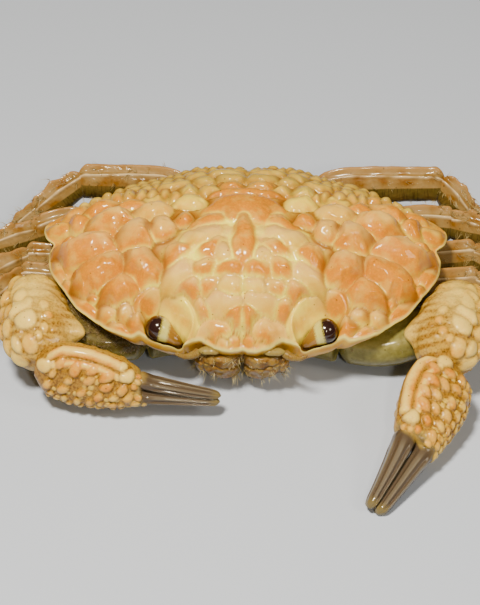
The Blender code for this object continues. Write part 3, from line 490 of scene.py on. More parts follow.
def make_piece(name, points, faces, material, attributes, replaces=()):
    """A smooth closed mesh of triangles, points in mm, with a float attribute for each colour field."""
    points = np.asarray(points, dtype=np.float64) * MM
    points[:, 2] = np.maximum(points[:, 2], 0.0)
    faces = np.asarray(faces, dtype=np.int32)
    mesh = bpy.data.meshes.new(name)
    mesh.vertices.add(len(points))
    mesh.vertices.foreach_set("co", points.astype(np.float32).ravel())
    mesh.loops.add(faces.size)
    mesh.loops.foreach_set("vertex_index", faces.ravel())
    mesh.polygons.add(len(faces))
    mesh.polygons.foreach_set("loop_start", np.arange(0, faces.size, 3, dtype=np.int32))
    mesh.update(calc_edges=True)
    mesh.validate()
    mesh.shade_smooth()
    for key, values in attributes.items():
        layer = mesh.attributes.new(key, "FLOAT", "POINT")
        layer.data.foreach_set("value", np.asarray(values, dtype=np.float32).ravel())
    mesh.materials.append(material)
    piece = bpy.data.objects.new(name, mesh)
    bpy.context.scene.collection.objects.link(piece)
    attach(piece, "root")
    if replaces:
        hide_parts(*replaces)
    return piece


def grid_faces(rows, columns, wrap=False):
    """Quads over a grid of points, its last column joined to the first when it wraps."""
    index = np.arange(rows * columns).reshape(rows, columns)
    if wrap:
        index = np.hstack([index, index[:, :1]])
    corners = (index[:-1, :-1], index[:-1, 1:], index[1:, 1:], index[1:, :-1])
    return np.stack(corners, axis=-1).reshape(-1, 4)


def halved(quads, *triangles):
    """Each quad as two triangles, followed by the other triangles."""
    return np.vstack([quads[:, [0, 1, 2]], quads[:, [0, 2, 3]], *triangles])


def attribute(tree, key):
    return add_node(tree, "ShaderNodeAttribute", {"attribute_name": key}).outputs["Fac"]


def noise(tree, place, width, detail):
    """Soft random grain whose patches are about the given width, in place's own units."""
    settings = {"Scale": 1 / width, "Detail": detail}
    return add_node(tree, "ShaderNodeTexNoise", settings, Vector=place).outputs["Fac"]


def ranged(tree, value, source, target):
    """A value carried from one range to another and held at its ends."""
    limits = dict(zip(("From Min", "From Max", "To Min", "To Max"), (*source, *target)))
    return add_node(tree, "ShaderNodeMapRange", limits, Value=value).outputs[0]


def maths(tree, operation, first, second, clamp=False):
    made = add_node(tree, "ShaderNodeMath", {"operation": operation, "use_clamp": clamp}, i0=first)
    if isinstance(second, float):
        made.inputs[1].default_value = second
    else:
        tree.links.new(second, made.inputs[1])
    return made.outputs[0]


def blend(tree, amount, under, over):
    """Two hues or colour outputs mixed by amount."""
    made = add_node(tree, "ShaderNodeMix", {"data_type": "RGBA"})
    tree.links.new(amount, made.inputs["Factor"])
    for socket, colour in ((made.inputs[6], under), (made.inputs[7], over)):
        if isinstance(colour, str):
            socket.default_value = linear(colour)
        else:
            tree.links.new(colour, socket)
    return made.outputs[2]


HUE_NAMES = ("cream", "orange", "deep", "pink", "groove", "pit")  # the order of a shell's hues
MOTTLE_MM = 0.35
PIT_SPACING_MM = 1.6
PIT_EDGE = (0.055, 0.085)


def shell_material(name, hues, roughness, bump_mm, layers=(), cloud_mm=2.0, coat=0.55, specks=0.0,
                   scratches=None):
    """Living chitin under a wet film: cream, orange and pink by lobe, another hue in the grooves.

    The fields come from the mesh. Soft noise clouds the orange, finer noise gives the mottling,
    and rare dark dots are pits. The mottling can also speckle the grooves, and noise stretched
    round a limb can draw fine dark scratches over one layer. Each layer lays its hue where its
    own field says. The wet film is a clear coat.
    """
    hues = dict(zip(HUE_NAMES, hues))
    material = plain_material(name, {
        "Specular IOR Level": 0.1, "Coat Weight": coat, "Coat Roughness": 0.09, "Coat IOR": 1.45,
        "Subsurface Weight": 0.1, "Subsurface Scale": 0.8 * MM, "Subsurface Radius": (1.0, 0.45, 0.2)})
    tree = material.node_tree
    shader = tree.nodes["Principled BSDF"].inputs
    place = add_node(tree, "ShaderNodeTexCoord").outputs["Object"]
    cloud = noise(tree, place, cloud_mm * MM, 3.0)
    mottle = noise(tree, place, MOTTLE_MM * MM, 2.0)

    def shifted(key, grain, low, high):
        return maths(tree, "ADD", attribute(tree, key), ranged(tree, grain, (0.25, 0.75), (low, high)), True)

    orange = shifted("orange", cloud, -0.28, 0.28)
    pink = maths(tree, "MULTIPLY", shifted("pink", cloud, 0.25, -0.25), 0.8)
    colour = blend(tree, orange, hues["cream"], blend(tree, mottle, hues["orange"], hues["deep"]))
    colour = blend(tree, pink, colour, hues["pink"])
    speck = ranged(tree, mottle, (0.52, 0.64), (0.0, specks))
    groove = blend(tree, speck, hues["groove"], hues["pit"])
    colour = blend(tree, shifted("groove", mottle, -0.18, 0.12), colour, groove)
    for key, hue in layers:
        colour = blend(tree, attribute(tree, key), colour, hue)
        if key == scratches:
            across = add_node(tree, "ShaderNodeCombineXYZ", i0=attribute(tree, "along"),
                              i1=attribute(tree, "around"))
            stretch = add_node(tree, "ShaderNodeVectorMath", {"operation": "MULTIPLY", 1: (4.5, 0.9, 1.0)},
                               i0=across.outputs[0])
            dark = ranged(tree, noise(tree, stretch.outputs[0], 1.0, 2.0), (0.5, 0.62), (0.0, 0.6))
            colour = blend(tree, maths(tree, "MULTIPLY", dark, attribute(tree, key)), colour, hues["pit"])
    cells = add_node(tree, "ShaderNodeTexVoronoi", {"Scale": 1 / (PIT_SPACING_MM * MM)}, Vector=place)
    dots = ranged(tree, cells.outputs["Distance"], PIT_EDGE, (0.75, 0.0))
    tree.links.new(blend(tree, dots, colour, hues["pit"]), shader["Base Color"])
    uneven = ranged(tree, mottle, (0.0, 1.0), (roughness - 0.08, roughness + 0.12))
    tree.links.new(uneven, shader["Roughness"])
    bump = add_node(tree, "ShaderNodeBump", {"Strength": 0.5, "Distance": bump_mm * MM},
                    Height=maths(tree, "ADD", mottle, cloud))
    tree.links.new(bump.outputs[0], shader["Normal"])
    return material


# The rear, shade and crease layers lay painted shade over the shell's own colours.
back_shell = shell_material("wet lobed chitin", (
    "#F4DA4C", "#EC9A00", "#AC5C00", "#DCA668", "#FFF45A", "#5B2E12"), 0.36, 0.05, layers=(
        ("rear", "#9A8040"), ("shade", "#94560A"), ("crease_shade", "#70450E"), ("rim", "#F6EA80"),
        ("socket", "#5A3A14")))

a, b = np.meshgrid(np.linspace(-1, 1, GRID_ACROSS + 1), np.linspace(-1, 1, GRID_ALONG + 1))
x = HALF_WIDTH * a * np.sqrt(1 - b**2 / 2)
y = HALF_DEPTH * b * np.sqrt(1 - a**2 / 2)
reach = np.hypot(x, y)
ellipse_radius = reach / np.maximum(np.hypot(x / HALF_WIDTH, y / HALF_DEPTH), 1e-9)
stretch = np.where(reach > 0, outline_radius(x, y) / np.maximum(ellipse_radius, 1e-9), 1.0)
x, y = x * stretch, y * stretch
height, fields = shell_surface(x, y)
top = np.stack([x, y, height], axis=-1).reshape(-1, 3)
rows, columns = x.shape
index = np.arange(rows * columns).reshape(rows, columns)
border = np.concatenate([index[0, :-1], index[:-1, -1], index[-1, :0:-1], index[:0:-1, 0]])
rim_points = top[border]
degrees = np.degrees(bearing(rim_points[:, 0], rim_points[:, 1]))
rings = []
for shares, drop, level in UNDER_RINGS:
    share = np.interp(degrees, UNDER_BEARINGS, shares)[:, None]
    lift = rim_points[:, 2:] + drop if level is None else np.full((len(border), 1), level)
    rings.append(np.hstack([rim_points[:, :2] * share, lift]))
points = np.vstack([top, *rings, [(0, 0, BODY_BASE)]])
count = len(border)
loops = [border] + [rows * columns + count * k + np.arange(count) for k in range(len(rings))]
bands = [np.stack([outer, inner, np.roll(inner, -1), np.roll(outer, -1)], axis=1)
         for outer, inner in zip(loops[:-1], loops[1:])]
quads = np.vstack([grid_faces(rows, columns), *bands])
base_fan = np.stack([loops[-1], np.full(count, len(points) - 1), np.roll(loops[-1], -1)], axis=1)
attributes = {
    key: np.concatenate([field.ravel(), np.full(len(points) - x.size, UNDER_FIELDS.get(key, 0.0))])
    for key, field in fields.items()
}
attributes["rim"][x.size:x.size + count] = 0.5 * rimmed(degrees)
make_piece("carapace_shell", points, halved(quads, base_fan), back_shell, attributes, ["carapace"])


# Eyes
# Each eye is a short amber stalk that carries a dark, moist cornea on its outer side, with a
# pale yellow cap of skin between the two.
EYE_BALL = 1.85
EYE_NECK = 0.8
EYE_NECK_DEPTH = 0.6  # how far the neck goes on behind the eye's root
EYE_ROWS = 64
EYE_AROUND = 72
EYE_BANDS = (  # share of the way outwards, hue
    (0.0, "#5E4014"), (0.38, "#94681E"), (0.46, "#CFC66A"), (0.59, "#C6BA5C"), (0.66, "#2B1812"),
    (1.0, "#221014"),
)


def unit(vector):
    vector = np.asarray(vector, float)
    return vector / np.linalg.norm(vector, axis=-1, keepdims=True)


def closed_grid(grid, poles=None):
    """Points and triangles of a wrapped grid, each end closed by a fan to its middle or pole."""
    rows, around = grid.shape[:2]
    points = np.vstack([grid.reshape(-1, 3), poles or (grid[0].mean(axis=0), grid[-1].mean(axis=0))])
    ring = np.arange(around)
    last = (rows - 1) * around + ring
    low = np.stack([ring, np.full(around, rows * around), np.roll(ring, -1)], axis=1)
    high = np.stack([last, np.roll(last, -1), np.full(around, rows * around + 1)], axis=1)
    faces = halved(grid_faces(rows, around, wrap=True), low, high)
    a, b, c = (points[faces[:, k]] for k in range(3))
    return points, faces if np.sum(a * np.cross(b, c)) >= 0 else faces[:, ::-1]


def eye_material():
    """Moist cornea: amber skin, a yellow cap, then a plum-brown cornea with a sharp gloss."""
    material = plain_material("moist cornea and stalk", {
        "Roughness": 0.16, "IOR": 1.38, "Coat Weight": 0.8, "Coat Roughness": 0.03})
    tree = material.node_tree
    place = add_node(tree, "ShaderNodeTexCoord").outputs["Object"]
    wobble = ranged(tree, noise(tree, place, 0.16 * MM, 2.0), (0.0, 1.0), (-0.07, 0.07))
    ramp = add_node(tree, "ShaderNodeValToRGB")
    tree.links.new(maths(tree, "ADD", attribute(tree, "outward"), wobble), ramp.inputs["Fac"])
    stops = ramp.color_ramp.elements
    for at, _ in EYE_BANDS[1:-1]:
        stops.new(at)
    for stop, (at, hue) in zip(stops, EYE_BANDS):
        stop.position, stop.color = at, linear(hue)
    tree.links.new(ramp.outputs[0], tree.nodes["Principled BSDF"].inputs["Base Color"])
    return material


moist_eye = eye_material()
for side_name, side in (("left", 1), ("right", -1)):
    # radius along the eye: a neck that swells into the ball, which ends in half a circle
    root, tip = EYE_ROOT * (side, 1, 1), EYE_TIP * (side, 1, 1)
    axis = unit(tip - root)
    length = np.linalg.norm(tip - root)
    along = 0.5 - 0.5 * np.cos(np.linspace(0, math.pi, EYE_ROWS))
    along = -EYE_NECK_DEPTH + (length + EYE_NECK_DEPTH + EYE_BALL) * along
    rise = held(along / length)
    neck = EYE_NECK + (EYE_BALL - EYE_NECK) * (3 * rise**2 - 2 * rise**3)
    neck *= np.sqrt(held((along + EYE_NECK_DEPTH) / 0.9))
    cap = EYE_BALL * np.sqrt(held(1 - ((along - length) / EYE_BALL) ** 2))
    radius = np.where(along > length, cap, neck)
    centres = root + along[:, None] * axis
    front = unit(np.cross(axis, (0, 0, 1)))
    top = np.cross(front, axis)
    angle = np.linspace(0, 2 * math.pi, EYE_AROUND, endpoint=False)
    radial = np.cos(angle)[:, None] * front + np.sin(angle)[:, None] * top
    ball = centres[:, None] + radius[:, None, None] * radial[None]
    points, faces = closed_grid(ball[1:-1], (ball[0, 0], ball[-1, 0]))
    tilt = (points - centres[0]) @ unit(axis + np.array((0.1 * side, -0.3, -0.2)))
    outward = (tilt - tilt.min()) / (tilt.max() - tilt.min())
    make_piece(f"eye_{side_name}_ball", points, faces, moist_eye, {"outward": outward},
               [f"eye_{side_name}"])


# Claw limbs
# Arm, wrist and hand of thick knobbly chitin. The wrist and the outer face of the hand carry
# rounded tubercles over tan recesses, and two ridges run along the hand's upper edge.
CLAWS = {  # ways in mm, then the hand's size and its fingers' width as shares of the stations' sizes
    "left": {
        "wrist": ((30.2, -3.2, 9.0), (31.0, -7.8, 8.8), (29.8, -13.4, 8.6), (29.2, -19.6, 7.4)),
        "tooth": (23.4, -14.2, 9.2),
        "hand": ((29.2, -19.6, 7.4), (24.6, -31.4, 4.4), (18.7, -41.8, 1.0)),
        "upper_edge": (-0.85, 0.15, 0.52),
        "size": 1.0, "finger_width": 1.0,
    },
    "right": {
        "wrist": ((-29.8, -3.2, 8.8), (-30.6, -7.8, 8.6), (-29.6, -13.4, 8.4), (-28.6, -19.4, 6.8)),
        "tooth": (-23.0, -15.2, 9.2),
        "hand": ((-28.6, -19.4, 6.8), (-14.8, -21.8, 5.1), (-2.9, -22.4, 3.6)),
        "upper_edge": (0.02, 0.25, 0.97),
        "size": 0.9, "finger_width": 0.75,
    },
}
ARM_PARTS = {  # way on the left, then half thickness and half height along it
    "base": (((8.0, -8.6, 4.6), (14.2, -10.8, 4.7)), (2.6, 3.0, 2.9), (2.7, 2.9, 2.8)),
    "merus": (((14.2, -10.8, 4.7), (21.0, -11.2, 5.2), (30.0, -8.8, 7.2)), (3.0, 3.9, 3.2), (2.7, 3.3, 3.2)),
}
ARM_UP = (0, 0.1, 1)
WRIST_SIZE = ((3.2, 4.8, 5.2, 3.7), (2.9, 4.1, 4.5, 3.6))
WRIST_TOOTH_RADIUS = 1.55
WRIST_SADDLE = (90, 32, 0.32, 0.27)  # smooth patch on top: degrees, half width, share, half length
ARM_RIDGES = ((30, 14, 1.0), (-65, 12, 0.8))  # degrees, half width, share of the height
# Hand: share of the way from root to finger root (beyond 1, to the tip), upper edge, lower edge
# and half thickness
PALM_STATIONS = (
    (-0.06, 2.0, -2.0, 1.6), (0.02, 3.6, -3.6, 2.4), (0.1, 4.3, -4.5, 2.7), (0.35, 5.0, -5.1, 3.1),
    (0.65, 4.7, -4.6, 3.0), (0.9, 3.9, -3.9, 2.7), (1.0, 3.2, -3.6, 2.5), (1.05, 1.2, -3.4, 2.4),
    (1.09, -0.05, -3.3, 2.2), (1.35, -0.05, -2.7, 1.8), (1.7, -0.05, -2.1, 1.4), (1.93, -0.05, -1.7, 1.1),
    (2.0, -0.3, -1.2, 0.6),
)
FINGER_STATIONS = (
    (1.0, 2.8, 0.5, 1.6), (1.06, 3.1, 0.1, 2.1), (1.35, 2.55, 0.05, 1.8),
    (1.7, 1.9, 0.05, 1.4), (1.93, 1.55, 0.05, 1.1), (2.0, 1.1, 0.3, 0.6),
)
FLUTE_DEPTH = 0.16
FLUTES_FROM, FINGER_TIP = 1.08, 1.86  # shares where the flutes begin and the pale tip begins
FINGER_FLUTES = ((0.7, 20, 6), (0.3, 5, 11))  # share of the depth, degrees of one flute, number round
# Ridges of the hand: way points as share and degrees round the hand from its outer face towards
# its upper edge, half width in degrees, rise, orange, pink
HAND_RIDGES = (
    (((0.04, 38), (0.2, 62), (0.5, 66), (0.86, 58)), 17, 0.75, 0.85, 0.35),
    (((0.1, 20), (0.3, 34), (0.6, 36), (0.82, 28)), 10, 0.4, 0.9, 0.1),
)
# Lobes of the hand: share, degrees, half length, half width, turn, rise, orange, pink
HAND_LOBES = (
    (0.05, 18, 1.5, 1.1, 0, 0.6, 0.25, 0.7), (0.88, 40, 1.3, 1.1, 30, 0.9, 0.05, 1.0),
    (0.82, 60, 0.9, 0.8, 0, 0.7, 0.15, 0.9), (0.2, 29, 1.1, 0.7, 60, 0.6, 0.9, 0.2),
    (0.36, 24, 1.4, 0.85, 75, 0.75, 0.95, 0.1), (0.53, 27, 1.1, 0.75, 50, 0.65, 0.9, 0.2),
    (0.68, 22, 1.3, 0.8, 40, 0.75, 0.9, 0.2), (0.97, 16, 0.6, 0.5, 0, 0.5, 0.9, 0.1),
    (1.0, 38, 0.6, 0.5, 0, 0.45, 0.6, 0.4), (1.0, 58, 0.6, 0.5, 0, 0.45, 0.9, 0.1),
    (1.03, -6, 0.6, 0.5, 0, 0.45, 0.7, 0.2), (0.14, -92, 1.2, 1.0, 0, 0.5, 0.3, 0.4),
)
HAND_KNOB_ROWS = (  # degrees, first and last share, count, radius, rise, orange, pink
    (4, 0.16, 0.84, 5, 0.82, 0.55, 0.75, 0.2), (-17, 0.12, 0.95, 6, 0.78, 0.52, 0.7, 0.2),
    (-38, 0.16, 1.0, 8, 0.62, 0.44, 0.5, 0.35), (-58, 0.12, 1.1, 10, 0.5, 0.38, 0.3, 0.5),
    (-80, 0.12, 1.1, 14, 0.42, 0.34, 0.05, 0.9), (128, 0.2, 0.8, 5, 0.6, 0.2, 0.3, 0.3),
)
HAND_BEADS = 80
HAND_SQUARENESS = 0.85
WRIST_SPOTS = 70
# Lobes of the wrist: share along it, degrees from its outer side over its top, then as on the hand
WRIST_LOBES = (
    (0.12, 8, 1.3, 1.0, 0, 0.75, 0.55, 0.1), (0.27, 0, 1.7, 1.0, 30, 0.85, 0.65, 0.1),
    (0.45, 4, 1.4, 1.2, 0, 0.8, 0.6, 0.3), (0.6, -5, 2.0, 1.1, -20, 0.9, 0.7, 0.4),
    (0.78, 0, 1.3, 1.1, 0, 0.8, 0.35, 0.5), (0.93, 6, 1.2, 1.0, 0, 0.7, 0.3, 0.7),
    (0.19, 33, 1.2, 0.8, 20, 0.65, 0.35, 0.1), (0.35, 28, 1.4, 0.8, 60, 0.7, 0.4, 0.2),
    (0.52, 35, 0.9, 0.75, 0, 0.55, 0.35, 0.2), (0.68, 27, 1.2, 0.8, 40, 0.65, 0.3, 0.4),
    (0.86, 34, 1.1, 0.8, 0, 0.6, 0.2, 0.8), (0.28, 58, 2.0, 0.9, 8, 0.4, 0.2, 0.4),
    (0.42, 62, 1.9, 0.85, -6, 0.4, 0.1, 0.7), (0.57, 60, 1.7, 1.4, 30, 0.95, 0.05, 1.0),
    (0.68, 68, 1.5, 1.2, -24, 0.9, 0.1, 1.0), (0.9, 66, 1.1, 0.9, 0, 0.6, 0.5, 0.4),
    (0.58, 100, 0.7, 0.6, 0, 0.45, 0.3, 0.5), (0.68, 106, 0.5, 0.5, 0, 0.4, 0.6, 0.1),
    (0.78, 98, 0.6, 0.5, 0, 0.4, 0.5, 0.2), (0.84, 86, 0.6, 0.5, 0, 0.4, 0.4, 0.3),
    (0.15, -30, 1.2, 0.9, 0, 0.6, 0.4, 0.1), (0.34, -34, 1.4, 0.9, 40, 0.65, 0.4, 0.1),
    (0.55, -30, 1.1, 0.9, 0, 0.6, 0.4, 0.1), (0.75, -34, 1.2, 0.9, 30, 0.6, 0.3, 0.3),
)


def grid_normals(grid, outward_from):
    """Unit normals of a wrapped grid: cross product of its two tangents, turned outwards."""
    along = np.gradient(grid, axis=0)
    around = np.roll(grid, -1, axis=1) - np.roll(grid, 1, axis=1)
    normal = np.cross(along, around)
    normal /= np.maximum(np.linalg.norm(normal, axis=-1, keepdims=True), 1e-9)
    facing = np.sum(normal * (grid - outward_from), axis=(1, 2), keepdims=True)
    middle = np.sign(np.median(facing))
    return normal * middle, along / np.maximum(np.linalg.norm(along, axis=-1, keepdims=True), 1e-9)


def raise_lobes(grid, normal, along, shares, angles, lobes, fullness=1.1):
    """Lobes on a limb, pressed together like the shell's: height, depth, own limit, orange, pink.

    Each lobe is an oval about its place on the surface and reaches only the points that face
    its own way.
    """
    lobes = np.array(lobes)
    rows = np.abs(shares[:, None] - lobes[:, 0]).argmin(axis=0)
    turns = (angles[:, None] - np.radians(lobes[:, 1]) + math.pi) % (2 * math.pi) - math.pi
    columns = np.abs(turns).argmin(axis=0)
    place, n, t = grid[rows, columns], normal[rows, columns], along[rows, columns]
    b = np.cross(n, t)
    c, s = np.cos(np.radians(lobes[:, 4]))[:, None], np.sin(np.radians(lobes[:, 4]))[:, None]
    flat, facing = grid.reshape(-1, 3), normal.reshape(-1, 3)

    def component(direction):
        return flat @ direction.T - np.sum(place * direction, axis=1)

    half_length, half_width = lobes[:, 2], lobes[:, 3]
    q = np.sqrt((component(t * c + b * s) / half_length) ** 2 + (component(b * c - t * s) / half_width) ** 2
                + (component(n) / (2.5 * half_width)) ** 2)
    q = np.where(facing @ n.T > 0.1, q, 9.0)
    raised, depth, own, first = press_together(q, np.sqrt(half_length * half_width), lobes[:, 5], fullness)
    return (v.reshape(grid.shape[:2]) for v in (raised, depth, own, lobes[first, 6], lobes[first, 7]))


def grid_piece(name, grid, material, fields, node):
    """A piece from a wrapped grid, its fields given a value at each end's middle point too."""
    points, faces = closed_grid(grid)
    fields = {key: field + np.zeros(grid.shape[:2]) for key, field in fields.items()}
    fields = {key: np.concatenate([f.ravel(), [f[0].mean(), f[-1].mean()]]) for key, f in fields.items()}
    make_piece(name, points, faces, material, fields, [node])


def turn_round(steps):
    return np.linspace(-math.pi, math.pi, steps, endpoint=False)


def squared(wave, power):
    """A sine or cosine pushed outwards, so that an oval made with it grows fuller corners."""
    return np.sign(wave) * np.abs(wave) ** power


def rounded(share, over, least):
    """Share of a limb's radius near its end, the root of 1 - t^2, and never under the least."""
    return np.sqrt(np.clip(1 - held(1 - share / over) ** 2, least, 1))


def walk(way, shares):
    """Points at shares of a way's length, and the unit direction at each."""
    lengths = np.concatenate([[0], np.cumsum(np.linalg.norm(np.diff(way, axis=0), axis=1))])
    centres = np.stack([np.interp(shares * lengths[-1], lengths, way[:, k]) for k in range(3)], axis=1)
    return centres, unit(np.gradient(centres, axis=0))


def slanted_ripple(grid, scale, seed):
    return ripple(grid[..., 0] + grid[..., 2], grid[..., 1] - grid[..., 2], scale, seed)


def sweep(path, widths, heights, up, side, rows, around, section, closing):
    """A limb segment: a cross-section carried along a smooth path, with rounded ends.

    widths and heights are half sizes spread evenly along it. section gives the across and up
    shares for each angle; across points to the limb's front face and up to its crest. The
    radius falls to its end as the root of 1 - t^2 over the closing share at each end.
    """
    path = np.asarray(path, float)
    shares = 0.5 - 0.5 * np.cos(np.linspace(0, math.pi, rows))
    shares = 0.55 * shares + 0.45 * np.linspace(0, 1, rows)
    centres, axis = walk(curve_through(path, 16) if len(path) > 2 else path, shares)
    front = unit(np.cross(axis, up)) * side
    top = np.cross(front, axis) * side
    spread = np.linspace(0, 1, len(widths))
    ends = rounded(shares, closing, 0.02) * rounded(1 - shares, closing, 0.02)
    wide, high = (np.interp(shares, spread, sizes) * ends for sizes in (widths, heights))
    angles = turn_round(around)
    across, upward = section(angles, shares)
    grid = (centres[:, None] + across[..., None] * wide[:, None, None] * front[:, None]
            + upward[..., None] * high[:, None, None] * top[:, None])
    return grid, centres, shares, angles


def round_section(angles, shares):
    return (np.broadcast_to(wave(angles), (len(shares), len(angles))) for wave in (np.cos, np.sin))


claw_shell = shell_material("knobbly claw chitin", (
    "#E8C24C", "#E29214", "#BC6C0A", "#ECCC6C", "#946818", "#4E300C"), 0.38, 0.07,
    layers=(("finger", "#4E4032"), ("flute", "#948A74"), ("tip", "#857544")), cloud_mm=1.6, coat=0.55,
    specks=0.6)
arm_skin = shell_material("smooth green-yellow arm chitin", (
    "#7C7638", "#6A561E", "#423214", "#A0965E", "#403416", "#32260F"), 0.42, 0.06,
    cloud_mm=0.9, coat=0.5, specks=0.5)


def hand_frame(claw):
    """Points and directions of a hand: root, finger root, tip, upper edge and outer face."""
    root, fork, tip = (np.array(p) for p in claw["hand"])
    axis = unit(tip - root)
    edge = np.array(claw["upper_edge"])
    edge = unit(edge - axis * (edge @ axis))
    outer = np.cross(axis, edge)
    if outer[2] < 0 or abs(outer[2]) < 0.3 and outer[1] > 0:
        outer = -outer
    return root, fork, tip, edge, outer


def hand_grid(claw, stations, rows, around):
    """Hand or finger: a rounded section between an upper and a lower edge along the hand."""
    root, fork, tip, edge, outer = hand_frame(claw)
    dense = curve_through(np.array(stations), 10)
    shares = np.linspace(stations[0][0], stations[-1][0], rows)
    upper, lower, thick = (np.interp(shares, dense[:, 0], dense[:, k]) for k in (1, 2, 3))
    slim = np.interp(shares, (0.8, 1.15), (1.0, claw["finger_width"]))
    upper, lower, thick = upper * slim, lower * slim, thick * slim
    closing = rounded(shares[-1] - shares, 0.06, 0.03)
    middle, half, thick = (upper + lower) / 2, (upper - lower) / 2 * closing, thick * closing
    spine = curve_through(np.stack([root, fork, tip]), 20)
    spine_share = np.linspace(0, 2, len(spine))
    inside = np.stack([np.interp(shares, spine_share, spine[:, k]) for k in range(3)], axis=1)
    centres = inside + np.clip(shares, None, 0)[:, None] * (fork - root)
    angles = turn_round(around)
    across, upward = squared(np.cos(angles), HAND_SQUARENESS), squared(np.sin(angles), HAND_SQUARENESS)
    grid = centres[:, None] + claw["size"] * (
        (middle[:, None] + upward * half[:, None])[..., None] * edge
        + (across * thick[:, None])[..., None] * outer)
    spine_points = centres[:, None] + (claw["size"] * middle)[:, None, None] * edge
    return grid, spine_points, shares, angles


def wrapped(angles, degrees):
    """Angle from the given direction in degrees, between -180 and 180."""
    return (np.degrees(angles) - degrees + 180) % 360 - 180


knob_draw = np.random.default_rng(5)


def small_knobs(count, shares, degrees, radii, rise):
    """Round knobs at random shares and degrees within the ranges, as the limbs' lobes are given."""
    return [(knob_draw.uniform(*shares), knob_draw.uniform(*degrees), *([knob_draw.uniform(*radii)] * 2), 0,
             rise, 0.5, 0.3) for _ in range(count)]


